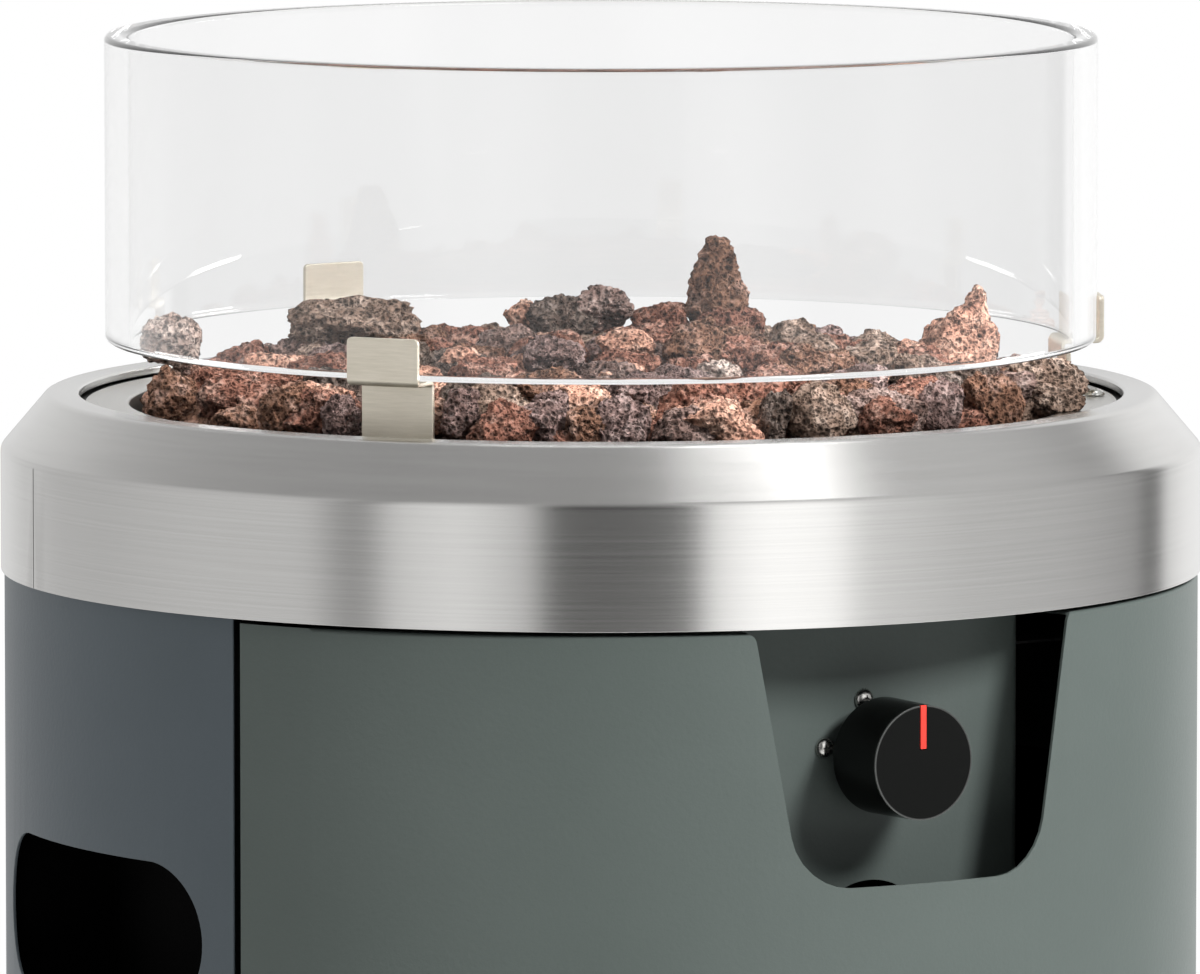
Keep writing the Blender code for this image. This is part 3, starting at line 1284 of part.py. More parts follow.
# Glass guard: a wide glass tube with ground edges, lifted off its brackets for cleaning
turned(
    "glass_guard",
    [
        (GUARD_INNER + GUARD_EDGE, GUARD_BOTTOM),
        (GUARD_RADIUS - GUARD_EDGE, GUARD_BOTTOM),
        (GUARD_RADIUS, GUARD_BOTTOM + GUARD_EDGE),
        (GUARD_RADIUS, GUARD_TOP - GUARD_EDGE),
        (GUARD_RADIUS - GUARD_EDGE, GUARD_TOP),
        (GUARD_INNER + GUARD_EDGE, GUARD_TOP),
        (GUARD_INNER, GUARD_TOP - GUARD_EDGE),
        (GUARD_INNER, GUARD_BOTTOM + GUARD_EDGE),
    ],
    clear_glass,
)

# Three bent strips hold the guard: a tab outside it, a ledge under it and a leg down the pit's wall
leg_bottom = PAN_TOP - STRIP_LEG
strip_path = rounded(
    [
        (LEG_FACE, leg_bottom),
        (LEG_FACE, LEDGE_BOTTOM),
        (TAB_FACE, LEDGE_BOTTOM),
        (TAB_FACE, LEDGE_TOP + STRIP_TAB),
    ],
    STRIP_BEND,
    BEND_STEPS,
    corners=(2,),
)
rivet_height = PAN_TOP - RIVET_BELOW_FLANGE
rivet_seat = LEG_FACE - STRIP_SHEET - SEAT_GAP
rivet_length = PIT_RADIUS + PAN_SHEET - rivet_seat + STRIP_SHEET
for number, angle in enumerate(bracket_angles):
    bracket = strip(f"guard_bracket_{number + 1}", strip_path, STRIP_SHEET, STRIP_WIDTH, brushed_steel)
    shape = bmesh.new()
    shape.from_mesh(bracket.data)
    tab_top = LEDGE_TOP + STRIP_TAB
    tab_corners = [
        edge for edge in shape.edges
        if all(corner.co.z > tab_top - WELD for corner in edge.verts)
        and abs(edge.verts[0].co.x - edge.verts[1].co.x) < WELD
    ]
    bmesh.ops.bevel(
        shape, geom=tab_corners, offset=STRIP_CORNER, segments=STRIP_CORNER_STEPS, profile=0.5, affect="EDGES"
    )
    shape.to_mesh(bracket.data)
    shape.free()
    turn_to(bracket, angle)
    hole_start = LEG_FACE - STRIP_SHEET - OVERRUN
    hole = rod(f"rivet_hole_{number}", SCREW_RADIUS + SEAT_GAP, hole_start, PIT_RADIUS + OVERRUN)
    profile = screw_profile(0.0, rivet_length, SCREW_HEAD_RADIUS, RIVET_HEAD_HEIGHT, SCREW_RADIUS)
    rivet = turned(f"bracket_rivet_{number + 1}", profile, bright_steel, PIN_STEPS)
    inwards = (-math.pi / 2, 0.0, math.radians(angle))
    hole.rotation_euler = (math.pi / 2, 0.0, math.radians(angle))
    hole.location.z = rivet_height
    rivet.rotation_euler = inwards
    rivet.location = polar(rivet_seat, angle, rivet_height)
    boolean(bracket, [hole])
    pan_cutters.append(hole)
boolean(burner_pan, pan_cutters)
boolean(top_deck, deck_cutters)

# Lava bed: a low mound over the burner, with rocks of many sizes heaped on it
lava_edge = PAN_TOP - LAVA_EDGE_HEIGHT
lava_bed = turned(
    "lava_bed",
    [
        (0.0, LAVA_BOTTOM),
        (LAVA_RADIUS, LAVA_BOTTOM),
        (LAVA_RADIUS, lava_edge),
        (LAVA_RADIUS / 2, lava_edge + LAVA_CROWN),
        (0.0, lava_edge + LAVA_CROWN),
    ],
    lava,
    LAVA_CORE_STEPS,
)
chance = random.Random(ROCK_SEED)


def outer_limit(angle):
    """How far out a rock may reach: up to the glass, and less beside a bracket."""
    half = FULL_TURN / 2
    offsets = [abs((angle - bracket + half) % FULL_TURN - half) for bracket in bracket_angles]
    if min(offsets) < LAVA_BRACKET_ANGLE:
        return LEG_FACE - STRIP_SHEET - LAVA_BRACKET_GAP
    return min(PIT_RADIUS, GUARD_INNER) - LAVA_WALL_GAP


def add_rock(shape, middle, half_sizes, limit):
    """One rock: the hull of corners spread over an uneven egg, and filled down to the bed's foot."""
    spin = chance.uniform(0.0, math.tau)
    corners = []
    for corner in range(ROCK_CORNERS):
        level = 1 - 2 * (corner + 0.5) / ROCK_CORNERS
        turn = math.radians(GOLDEN_ANGLE) * corner + spin
        reach = math.sqrt(1 - level ** 2)
        stretch = 1 + chance.uniform(-ROCK_JITTER_SHARE, ROCK_JITTER_SHARE)
        direction = Vector((reach * math.cos(turn), reach * math.sin(turn), level)) * stretch
        point = middle + Vector([size * part for size, part in zip(half_sizes, direction)])
        if point.xy.length > limit:
            point.xy = point.xy.normalized() * limit
        foot = Vector((point.x, point.y, LAVA_BOTTOM + SEAT_GAP))
        point.z = max(point.z, foot.z + SEAT_GAP)
        corners += [shape.verts.new(point), shape.verts.new(foot)]
    hull = bmesh.ops.convex_hull(shape, input=corners)
    left_over = hull["geom_interior"] + hull["geom_unused"]
    spare = {item for item in left_over if isinstance(item, bmesh.types.BMVert)}
    bmesh.ops.delete(shape, geom=list(spare), context="VERTS")


def rock_object(name, middle, half_sizes, limit):
    """A rock on its own, to be joined to the bed."""
    shape = bmesh.new()
    add_rock(shape, middle, half_sizes, limit)
    return add_object(name, shape)


rocks = []
for number in range(ROCK_COUNT):
    share = math.sqrt((number + 0.5) / ROCK_COUNT)
    angle = math.degrees(math.radians(GOLDEN_ANGLE) * number) % FULL_TURN
    size = ROCK_SIZE * chance.uniform(*ROCK_SIZE_SHARES)
    half_sizes = [size * chance.uniform(*ROCK_AXIS_SHARES) for axis in range(3)]
    crown = LAVA_CROWN * (1 - share ** 2)
    middle = polar(LAVA_RADIUS * share, angle, lava_edge + crown + ROCK_LIFT_SHARE * size)
    rocks.append(rock_object(f"rock_{number}", middle, half_sizes, outer_limit(angle)))
tall_rocks = (
    ("spire", SPIRE_ANGLE, SPIRE_RADIUS, SPIRE_HALF_WIDTH, SPIRE_HEIGHT),
    ("peak", PEAK_ANGLE, PEAK_RADIUS, PEAK_HALF_WIDTH, PEAK_HEIGHT),
)
for rock_name, angle, radius, half_width, height in tall_rocks:
    middle = polar(radius, angle, PAN_TOP + height / 3)
    half_sizes = (half_width, half_width, height * 2 / 3)
    rocks.append(rock_object(rock_name, middle, half_sizes, outer_limit(angle)))
boolean(lava_bed, rocks, "UNION")
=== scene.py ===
# %% [markdown]
# # A round gas patio heater
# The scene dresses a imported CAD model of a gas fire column: a painted steel drum with a door, a brushed
# stainless ring, a fire pan full of lava rock and a glass guard. The CAD nodes fix every size and place.
# Pieces that the eye rests on are modelled again here with round edges and fine bends, and the rest keeps
# its CAD mesh and gets a proper material. All lengths are metres, +Z is up, and the door faces -Y.

# %% Load the CAD frame
import math
import random

import bmesh
import bpy
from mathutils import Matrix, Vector


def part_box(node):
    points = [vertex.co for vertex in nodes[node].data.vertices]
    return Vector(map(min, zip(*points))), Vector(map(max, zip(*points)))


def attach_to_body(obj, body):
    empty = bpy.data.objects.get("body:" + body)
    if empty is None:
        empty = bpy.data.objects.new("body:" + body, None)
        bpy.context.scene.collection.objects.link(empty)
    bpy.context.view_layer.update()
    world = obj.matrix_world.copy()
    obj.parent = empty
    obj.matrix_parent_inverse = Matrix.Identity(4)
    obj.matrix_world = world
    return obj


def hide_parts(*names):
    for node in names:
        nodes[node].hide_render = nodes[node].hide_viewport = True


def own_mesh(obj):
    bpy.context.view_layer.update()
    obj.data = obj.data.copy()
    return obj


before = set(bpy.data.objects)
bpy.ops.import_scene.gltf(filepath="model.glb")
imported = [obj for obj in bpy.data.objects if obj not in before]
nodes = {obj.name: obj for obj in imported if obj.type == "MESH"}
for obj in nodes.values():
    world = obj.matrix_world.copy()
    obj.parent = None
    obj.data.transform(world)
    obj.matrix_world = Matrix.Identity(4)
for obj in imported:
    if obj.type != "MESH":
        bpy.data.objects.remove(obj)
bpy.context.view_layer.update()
bpy.context.scene.view_settings.view_transform = "Standard"

# %% [markdown]
# ## Small helpers for modelling
# Every piece below is made the way it would be by hand: a primitive is added, one or two edit mode tools
# shape it, and modifiers finish it. An operator acts on whatever is selected, so each helper first
# clears the selection. A bend, a wall and a worn edge come from Bevel and Solidify rather than from typed
# points, because their radius and thickness are then single numbers that match the real sheet. Smooth
# shading alone would tilt the light on a flat wall towards its rounded edge, so Weighted Normal gives each
# corner the direction of its largest face: walls stay flat, and clear glass doesn't turn into a lens.

# %% Select, name and finish
QUARTER_TURN = math.pi / 2


def take(piece):
    """Selects one piece alone and makes it the active one."""
    bpy.ops.object.select_all(action="DESELECT")
    piece.select_set(True)
    bpy.context.view_layer.objects.active = piece
    return piece


def name_new(name):
    """Names the piece that an operator has just added."""
    made = bpy.context.active_object
    made.name = name
    made.data.name = name
    return made


def settle(piece):
    """Puts a piece's place, turn and size into its mesh, so that its object sits at the origin."""
    take(piece)
    bpy.ops.object.transform_apply(location=True, rotation=True, scale=True)
    return piece


def apply_modifier(piece, kind, **settings):
    """Adds a modifier, sets it and applies it."""
    take(piece)
    modifier = piece.modifiers.new(kind, kind)
    for name, value in settings.items():
        setattr(modifier, name, value)
    bpy.ops.object.modifier_apply(modifier=modifier.name)
    return piece


def middle_of(part):
    """The middle of a vertex, an edge or a face."""
    corners = getattr(part, "verts", None) or [part]
    return sum((corner.co for corner in corners), Vector()) / len(corners)


def choose(piece, kind, test):
    """In edit mode, selects the vertices, edges or faces whose middle passes a test."""
    bpy.ops.mesh.select_mode(type=kind)
    bpy.ops.mesh.select_all(action="DESELECT")
    shape = bmesh.from_edit_mesh(piece.data)
    parts = {"VERT": shape.verts, "EDGE": shape.edges, "FACE": shape.faces}[kind]
    for part in [part for part in parts if test(middle_of(part), part)]:
        part.select_set(True)
    shape.select_flush_mode()
    bmesh.update_edit_mesh(piece.data)


def edit(piece):
    """Opens a piece in edit mode, with all of it selected."""
    take(piece)
    bpy.ops.object.mode_set(mode="EDIT")
    bpy.ops.mesh.select_mode(type="VERT")
    bpy.ops.mesh.select_all(action="SELECT")
    return piece


def close_edit(piece, merge=0.000002):
    """Merges doubles, turns all faces outwards and leaves edit mode."""
    bpy.ops.mesh.select_all(action="SELECT")
    bpy.ops.mesh.remove_doubles(threshold=merge)
    bpy.ops.mesh.normals_make_consistent(inside=False)
    bpy.ops.object.mode_set(mode="OBJECT")
    return piece


def smooth(piece, degrees=35.0, weighted=True):
    """Smooth shading that stops at edges sharper than an angle, with flat faces kept flat."""
    take(piece)
    bpy.ops.object.shade_smooth_by_angle(angle=math.radians(degrees))
    if weighted:
        apply_modifier(piece, "WEIGHTED_NORMAL", mode="FACE_AREA", keep_sharp=True)
    return piece


def cut(piece, tools):
    """Cuts tools out of a piece and throws the tools away."""
    for tool in tools:
        apply_modifier(piece, "BOOLEAN", operation="DIFFERENCE", solver="EXACT", object=tool)
        bpy.data.objects.remove(tool, do_unlink=True)
    return piece


def add_shape(kind, name, **settings):
    """Adds one primitive and names it."""
    bpy.ops.object.select_all(action="DESELECT")
    getattr(bpy.ops.mesh, f"primitive_{kind}_add")(**settings)
    return name_new(name)


def box_tool(name, low, high):
    """A block between two corners, as a cutter or as stock to be shaped."""
    low, high = Vector(low), Vector(high)
    made = add_shape("cube", name, size=1.0, location=(low + high) / 2)
    made.scale = high - low
    return settle(made)


def rod_tool(name, radius, depth, spot, steps, lying=False):
    """A cylinder as a cutter, upright or lying front to back."""
    turn = (QUARTER_TURN if lying else 0.0, 0.0, 0.0)
    return settle(add_shape(
        "cylinder", name, vertices=steps, radius=radius, depth=depth, location=spot, rotation=turn
    ))


def soften(piece, width, segments=2, degrees=40.0):
    """Rounds every edge sharper than an angle."""
    return apply_modifier(
        piece, "BEVEL", width=width, segments=segments, limit_method="ANGLE",
        angle_limit=math.radians(degrees), harden_normals=False,
    )


def deburr(piece):
    """Breaks the cut edges of a sheet."""
    return soften(piece, 0.00035, degrees=60.0)


def thicken(piece, wall, even=True):
    """Gives an open sheet its wall, on its inner side."""
    return apply_modifier(piece, "SOLIDIFY", thickness=wall, offset=-1.0, use_even_offset=even)


# %% [markdown]
# ## Where pieces belong
# A finished piece rides on a body of the mechanism, hides the CAD nodes that it stands for, and takes its
# finish. Printing how far its box is from the CAD box catches a slip at once.

# %% Attach a piece to the frame
def polar(radius, angle, height=0.0):
    """A point at an angle in degrees round the drum, counted from the front towards +X."""
    turn = math.radians(angle)
    return Vector((radius * math.sin(turn), -radius * math.cos(turn), height))


def box_of(piece):
    """Lowest and highest corner of a piece's mesh."""
    corners = [vertex.co for vertex in piece.data.vertices]
    low = Vector(min(corner[axis] for corner in corners) for axis in range(3))
    high = Vector(max(corner[axis] for corner in corners) for axis in range(3))
    return low, high


def attach(piece, look, body="root", replaced=()):
    """Gives a piece its material and body, and hides the CAD nodes that it stands for."""
    piece.data.materials.clear()
    piece.data.materials.append(look)
    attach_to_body(piece, body)
    if replaced:
        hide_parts(*replaced)
        boxes = [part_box(node) for node in replaced]
        low = Vector(min(box[0][axis] for box in boxes) for axis in range(3))
        high = Vector(max(box[1][axis] for box in boxes) for axis in range(3))
        here = box_of(piece)
        off = max(max(map(abs, here[0] - low)), max(map(abs, here[1] - high)))
        print(f"{piece.name}: {len(piece.data.polygons)} faces, {off * 1000:.1f} mm from the CAD box")
    return piece


# %% [markdown]
# ## Colours and material nodes
# Paint and stone colours are read as display values, and one function turns them into the linear values
# that Blender mixes light with. One small function adds a node with its settings and links.

# %% Colour and node helpers
def display(code):
    """Turns a display colour such as #5a6260 into linear values."""
    channels = [int(code[start:start + 2], 16) / 255 for start in (1, 3, 5)]
    linear = [part / 12.92 if part <= 0.04045 else ((part + 0.055) / 1.055) ** 2.4 for part in channels]
    return (*linear, 1.0)


def add_node(tree, kind, inputs=None, **settings):
    """Adds one node. An input is a value for its socket, or the node or output that feeds it."""
    made = tree.nodes.new("ShaderNode" + kind)
    for name, value in settings.items():
        setattr(made, name, value)
    for name, value in (inputs or {}).items():
        if isinstance(value, bpy.types.Node):
            value = value.outputs[0]
        if isinstance(value, bpy.types.NodeSocket):
            tree.links.new(value, made.inputs[name])
        else:
            made.inputs[name].default_value = value
    return made


def new_material(name, **sockets):
    """A material with one Principled shader, and values for its sockets."""
    made = bpy.data.materials.new(name)
    made.use_nodes = True
    shader = made.node_tree.nodes["Principled BSDF"]
    for socket, value in sockets.items():
        shader.inputs[socket.replace("_", " ").title().replace("Ior", "IOR")].default_value = value
    return made, made.node_tree, shader


def colour_steps(ramp, stops):
    """Sets a colour ramp's (place, display colour or linear colour) stops."""
    elements = ramp.color_ramp.elements
    while len(elements) < len(stops):
        elements.new(0.5)
    for element, (place, colour) in zip(elements, stops):
        element.position = place
        element.color = display(colour) if isinstance(colour, str) else colour
    return ramp


def feed(tree, shader, colour, rough, bump):
    """Links a shader's colour, roughness and bump."""
    for socket, source in (("Base Color", colour), ("Roughness", rough), ("Normal", bump)):
        tree.links.new(source.outputs[0], shader.inputs[socket])


# %% [markdown]
# ## Brushed stainless steel
# The ring and the pan are 304 stainless sheet, ground with a belt while they turn. The belt leaves fine
# lines round the axis, so the metal shines in upright bands: light spreads across the lines and hardly
# along them. Anisotropy with a radial tangent, turned a quarter, gives the bands, and noise stretched
# round the axis gives the lines. It reads a direction from the axis instead of an angle, so no seam shows.

# %% Brushed steels
LINE_PITCH = 0.0006       # real grinding lines are 0.1 to 0.3 mm apart, drawn wider so that they show
LINE_LENGTH = 0.140
SCRATCH_DEPTH = 0.0002
RING_RADIUS = 0.240
FROM_NOISE = {"From Min": 0.3, "From Max": 0.7}     # the range that a noise texture mostly keeps to


def turned_lines(tree):
    """Noise coordinates that run slowly round the axis and fast across the lines."""
    place = add_node(tree, "TexCoord").outputs["Object"]
    flat = add_node(tree, "VectorMath", {0: place, 1: (1.0, 1.0, 0.0)}, operation="MULTIPLY")
    outwards = add_node(tree, "VectorMath", {0: flat}, operation="NORMALIZE")
    slow = add_node(
        tree, "VectorMath", {0: outwards, "Scale": RING_RADIUS / LINE_LENGTH}, operation="SCALE"
    )
    radius = add_node(tree, "VectorMath", {0: flat}, operation="LENGTH").outputs["Value"]
    height = add_node(tree, "SeparateXYZ", {0: place}).outputs["Z"]
    across = add_node(tree, "Math", {0: radius, 1: height}, operation="ADD")
    lines = add_node(tree, "Math", {0: across, 1: 1 / LINE_PITCH}, operation="MULTIPLY")
    fast = add_node(tree, "CombineXYZ", {"Z": lines})
    return add_node(tree, "VectorMath", {0: slow, 1: fast}, operation="ADD")


def brushed(name, shades, low, high, round_axis=True, anisotropy=0.75, groove=0.08):
    """Ground stainless: lines round the axis, or straight lines along a strip."""
    made, tree, shader = new_material(
        name, metallic=1.0, anisotropic=anisotropy, anisotropic_rotation=0.25 if round_axis else 0.0
    )
    if round_axis:
        place = turned_lines(tree)
        tangent = add_node(tree, "Tangent", direction_type="RADIAL", axis="Z")
        tree.links.new(tangent.outputs[0], shader.inputs["Tangent"])
    else:
        place = add_node(tree, "Mapping", {
            "Vector": add_node(tree, "TexCoord").outputs["Object"],
            "Rotation": (0.0, 0.6, 0.4), "Scale": (90.0, 90.0, 1100.0),
        })
    lines = add_node(tree, "TexNoise", {"Vector": place, "Scale": 1.0, "Detail": 5.0, "Roughness": 0.62})
    rough = add_node(tree, "MapRange", {"Value": lines, "To Min": low, "To Max": high, **FROM_NOISE})
    shade = colour_steps(add_node(tree, "ValToRGB", {"Fac": lines}), [(0.3, shades[0]), (0.7, shades[1])])
    bump = add_node(tree, "Bump", {"Height": lines, "Strength": groove, "Distance": SCRATCH_DEPTH})
    feed(tree, shader, shade, rough, bump)
    return made


ring_steel = brushed("ring_steel", ("#cac9c7", "#d1d0ce"), 0.23, 0.26, anisotropy=0.8, groove=0.025)
pan_steel = brushed("pan_steel", ("#a9a7a2", "#c3c1bc"), 0.26, 0.38)
strip_steel = brushed("strip_steel", ("#e2dac9", "#f0e8d9"), 0.40, 0.48, False, 0.2, 0.02)
print("brushed steels:", ring_steel.name, pan_steel.name, strip_steel.name)

# %% [markdown]
# ## Powder coat, enamel and moulded plastic
# The drum is steel sheet with a baked polyester powder coat. The powder melts into a film with a faint
# orange peel about two millimetres wide and tiny matt specks, and both are drawn as bump and roughness.
# The casing comes out a shade bluer than the door. Inner steel has a thinner black heat-proof enamel with a
# sandy feel. The knob is moulded nylon: its skin carries a spark-eroded grain that makes it satin.

# %% Coats and plastics
PEEL = 0.0022             # width of the orange peel's bumps
SPECK = 0.0007
DRIFT = 0.12              # width of the slow changes of colour
COAT_DEPTH = 0.0003


def coated(name, shades, low, high, peel, speck, strength=0.25, shine=0.5):
    """A coat or moulded skin: slow colour drift, bumps of one width and specks of another."""
    made, tree, shader = new_material(name, specular_ior_level=shine)
    place = add_node(tree, "TexCoord").outputs["Object"]
    drift, specks, bumps = (
        add_node(tree, "TexNoise", {"Vector": place, "Scale": 1 / width, "Detail": detail})
        for width, detail in ((DRIFT, 3.0), (speck, 2.0), (peel, 1.5))
    )
    both = add_node(tree, "Math", {0: specks, 1: 0.35, 2: drift}, operation="MULTIPLY_ADD")
    height = add_node(tree, "Math", {0: specks, 1: 0.4, 2: bumps}, operation="MULTIPLY_ADD")
    rough = add_node(tree, "MapRange", {"Value": specks, "To Min": low, "To Max": high, **FROM_NOISE})
    shade = colour_steps(add_node(tree, "ValToRGB", {"Fac": both}), [(0.45, shades[0]), (0.9, shades[1])])
    bump = add_node(tree, "Bump", {"Height": height, "Strength": strength, "Distance": COAT_DEPTH})
    feed(tree, shader, shade, rough, bump)
    return made


BLACK_NYLON = (("#070807", "#0b0c0b"), 0.16, 0.22, 0.0008, 0.0004, 0.06, 0.14)
powder_coat = coated("slate_powder_coat", ("#555d5a", "#5b6360"), 0.38, 0.44, PEEL, SPECK, shine=0.24)
casing_coat = coated("casing_powder_coat", ("#525a5f", "#586066"), 0.38, 0.44, PEEL, SPECK, shine=0.24)
enamel = coated("black_enamel", ("#121212", "#1d1d1c"), 0.46, 0.62, 0.0012, SPECK, 0.35)
nylon = coated("moulded_nylon", *BLACK_NYLON)
cup_plastic = coated("matt_polypropylene", ("#030303", "#060606"), 0.60, 0.75, 0.0010, 0.0005, 0.20, 0.02)
pointer_red = coated("red_pointer", ("#e8332a", "#ff4a3d"), 0.34, 0.42, 0.0008, 0.0004, 0.10)
rubber = coated("foot_rubber", ("#161616", "#232322"), 0.68, 0.85, 0.0016, SPECK, 0.40)
ceramic = coated("glazed_ceramic", ("#ddd8cc", "#ece8de"), 0.18, 0.30, 0.0020, SPECK, 0.10)
print("coats:", powder_coat.name, casing_coat.name, enamel.name, nylon.name, pointer_red.name, rubber.name)

# %% [markdown]
# ## Small metal parts
# Screws and pins are bright zinc or stainless, the gas valve is machined brass, and the feed pipe is drawn
# copper. Drawn and turned metal has short soft streaks and a few duller stains from handling.

# %% Machined metals
def machined(name, shades, low, high, streak=0.004):
    """Turned or drawn metal with soft stains and fine streaks."""
    made, tree, shader = new_material(name, metallic=1.0)
    stains = add_node(tree, "TexNoise", {
        "Vector": add_node(tree, "TexCoord").outputs["Object"],
        "Scale": 1 / streak, "Detail": 6.0, "Roughness": 0.65,
    })
    rough = add_node(tree, "MapRange", {"Value": stains, "To Min": high, "To Max": low, **FROM_NOISE})
    shade = colour_steps(
        add_node(tree, "ValToRGB", {"Fac": stains}), [(0.32, shades[0]), (0.68, shades[1])]
    )
    bump = add_node(tree, "Bump", {"Height": stains, "Strength": 0.08, "Distance": SCRATCH_DEPTH})
    feed(tree, shader, shade, rough, bump)
    return made


bright_zinc = machined("bright_zinc", ("#b9b8b4", "#d9d8d4"), 0.18, 0.32)
brass = machined("machined_brass", ("#a98b4a", "#cbb06a"), 0.22, 0.36)
copper = machined("drawn_copper", ("#a5664a", "#c98a6c"), 0.24, 0.38)
stainless = machined("mill_stainless", ("#9d9b96", "#bfbdb8"), 0.26, 0.42, 0.012)
print("metals:", bright_zinc.name, brass.name, copper.name, stainless.name)

# %% [markdown]
# ## Glass
# The guard is a drawn borosilicate tube, clear and nearly colourless, with faint streaks from drawing.
# A ray tracer gives solid glass a full black shadow, because it doesn't focus light through it, so shadow
# rays pass straight through here: the rocks inside get the same light as they would in the real guard.

# %% Clear glass
guard_glass, tree, shader = new_material("guard_glass", transmission_weight=1.0, ior=1.47, roughness=0.0)
place = add_node(tree, "TexCoord").outputs["Object"]
stretched = add_node(tree, "Mapping", {"Vector": place, "Scale": (14.0, 14.0, 2.0)})
streaks = add_node(tree, "TexNoise", {"Vector": stretched, "Scale": 1.0, "Detail": 1.0})
tint = colour_steps(add_node(tree, "ValToRGB", {"Fac": streaks}), [(0.35, "#f5f5f5"), (0.65, "#f9f9f9")])
tree.links.new(tint.outputs[0], shader.inputs["Base Color"])
shadow = add_node(tree, "LightPath").outputs["Is Shadow Ray"]
mixed = add_node(tree, "MixShader", {0: shadow, 1: shader, 2: add_node(tree, "BsdfTransparent")})
tree.links.new(mixed.outputs[0], tree.nodes["Material Output"].inputs["Surface"])
print("glass:", guard_glass.name)

# %% [markdown]
# ## Lava rock
# Lava rock is a foam of cooled basalt: rust red where its iron has burned, grey to violet elsewhere. Gas
# bubbles leave round pores from half a millimetre to three millimetres, and the broken faces between them
# are pale and dusty. The colour is darkened inside the pores as painted shade. Voronoi cells give the
# pores, noise gives the colour patches, and both also drive the bump.

# %% Lava rock in several colours
def lava(name, deep, plain, dusty):
    """Porous rock from three display colours."""
    made, tree, shader = new_material(name, specular_ior_level=0.25)
    place = add_node(tree, "TexCoord").outputs["Object"]
    patches = add_node(tree, "TexNoise", {
        "Vector": place, "Scale": 95.0, "Detail": 9.0, "Roughness": 0.68,
    })
    sway = {0: patches.outputs["Color"], 1: (0.004, 0.004, 0.004), 2: place}
    bend = add_node(tree, "VectorMath", sway, operation="MULTIPLY_ADD")
    large = add_node(tree, "TexVoronoi", {"Vector": bend, "Scale": 330.0})
    small = add_node(tree, "TexVoronoi", {"Vector": bend, "Scale": 820.0})
    holes = add_node(tree, "MapRange", {"Value": large, "From Min": 0.12, "From Max": 0.48})
    pits = add_node(tree, "MapRange", {"Value": small, "From Min": 0.10, "From Max": 0.52, "To Min": 0.30})
    open_face = add_node(tree, "Math", {0: holes, 1: pits}, operation="MULTIPLY")
    shade = colour_steps(
        add_node(tree, "ValToRGB", {"Fac": patches}), [(0.30, deep), (0.50, plain), (0.72, dusty)]
    )
    # Painted shade: the colour is darkened in the pores, down to 0.13 of the patch colour.
    depth = add_node(tree, "MapRange", {"Value": open_face, "To Min": 0.13, "To Max": 1.18})
    dark = add_node(tree, "VectorMath", {0: shade, "Scale": depth}, operation="SCALE")
    rough = add_node(tree, "MapRange", {"Value": patches, "To Min": 0.78, "To Max": 0.95})
    relief = add_node(tree, "Math", {0: open_face, 1: patches}, operation="ADD")
    bump = add_node(tree, "Bump", {"Height": relief, "Strength": 1.0, "Distance": 0.0030})
    feed(tree, shader, dark, rough, bump)
    return made


LAVA_LOOKS = {
    "r": lava("lava_rust", "#55352a", "#8e6354", "#bf9f90"),
    "s": lava("lava_salmon", "#a07260", "#c69883", "#e2c2b0"),
    "b": lava("lava_brown", "#4c3328", "#83614f", "#b7988a"),
    "o": lava("lava_olive", "#5a473c", "#8f796b", "#c6b1a3"),
    "g": lava("lava_grey", "#4c3a35", "#7f6964", "#b9a49e"),
    "v": lava("lava_violet", "#54403a", "#877068", "#b8a49c"),
    "d": lava("lava_dark", "#3a2c26", "#665850", "#9c8e86"),
    "p": lava("lava_pale", "#8c7468", "#b39d92", "#d6c6bc"),
}
print("lava colours:", len(LAVA_LOOKS))

# %% [markdown]
# ## Drawing a round sheet out
# A round piece can be lathed, or a circle can be drawn out ring by ring: extrude, lift, resize. Drawing
# out follows the way such a piece is spun or rolled, and each corner stays one clean loop of edges, so its
# bend is a single bevel with the real radius.

# %% Draw a circle out along a profile
ROUND_STEPS = 192
NEAR = 0.00001            # points closer than this count as one


def drawn_out(name, profile, steps=ROUND_STEPS):
    """Starts with a circle and extrudes it through (radius, height) points."""
    radius, height = profile[0]
    spot = (0.0, 0.0, height)
    made = edit(settle(add_shape("circle", name, vertices=steps, radius=radius, location=spot)))
    for next_radius, next_height in profile[1:]:
        lift = (0.0, 0.0, next_height - height)
        share = next_radius / radius
        bpy.ops.mesh.extrude_edges_move(TRANSFORM_OT_translate={"value": lift})
        bpy.ops.transform.resize(value=(share, share, 1.0), center_override=(0.0, 0.0, next_height))
        radius, height = next_radius, next_height
    return made


def bend_rings(piece, bends):
    """Rounds the rings of edges at (radius, height, bend) corners of an open drawn-out sheet."""
    for radius, height, bend in bends:
        def on_ring(middle, part, radius=radius, height=height):
            far = [math.hypot(corner.co.x, corner.co.y) for corner in part.verts]
            level = max(abs(corner.co.z - height) for corner in part.verts)
            return level < 0.00005 and max(abs(reach - radius) for reach in far) < 0.00005
        choose(piece, "EDGE", on_ring)
        bpy.ops.mesh.bevel(offset=bend, segments=5, profile=0.5, affect="EDGES")


def round_sheet(name, profile, bends, wall, filled=False):
    """A spun sheet: drawn out, bent, given its wall, and rounded at its cut edges."""
    made = drawn_out(name, profile)
    if filled:
        bpy.ops.mesh.edge_face_add()
    bend_rings(made, bends)
    thicken(close_edit(made), wall)
    return smooth(soften(made, 0.0003, degrees=60.0))


def round_loop(name, profile, edge, steps=ROUND_STEPS, segments=3):
    """A tube whose profile closes on itself, with rounded rims."""
    made = drawn_out(name, profile + profile[:1], steps)
    return smooth(soften(close_edit(made), edge, segments, degrees=60.0))


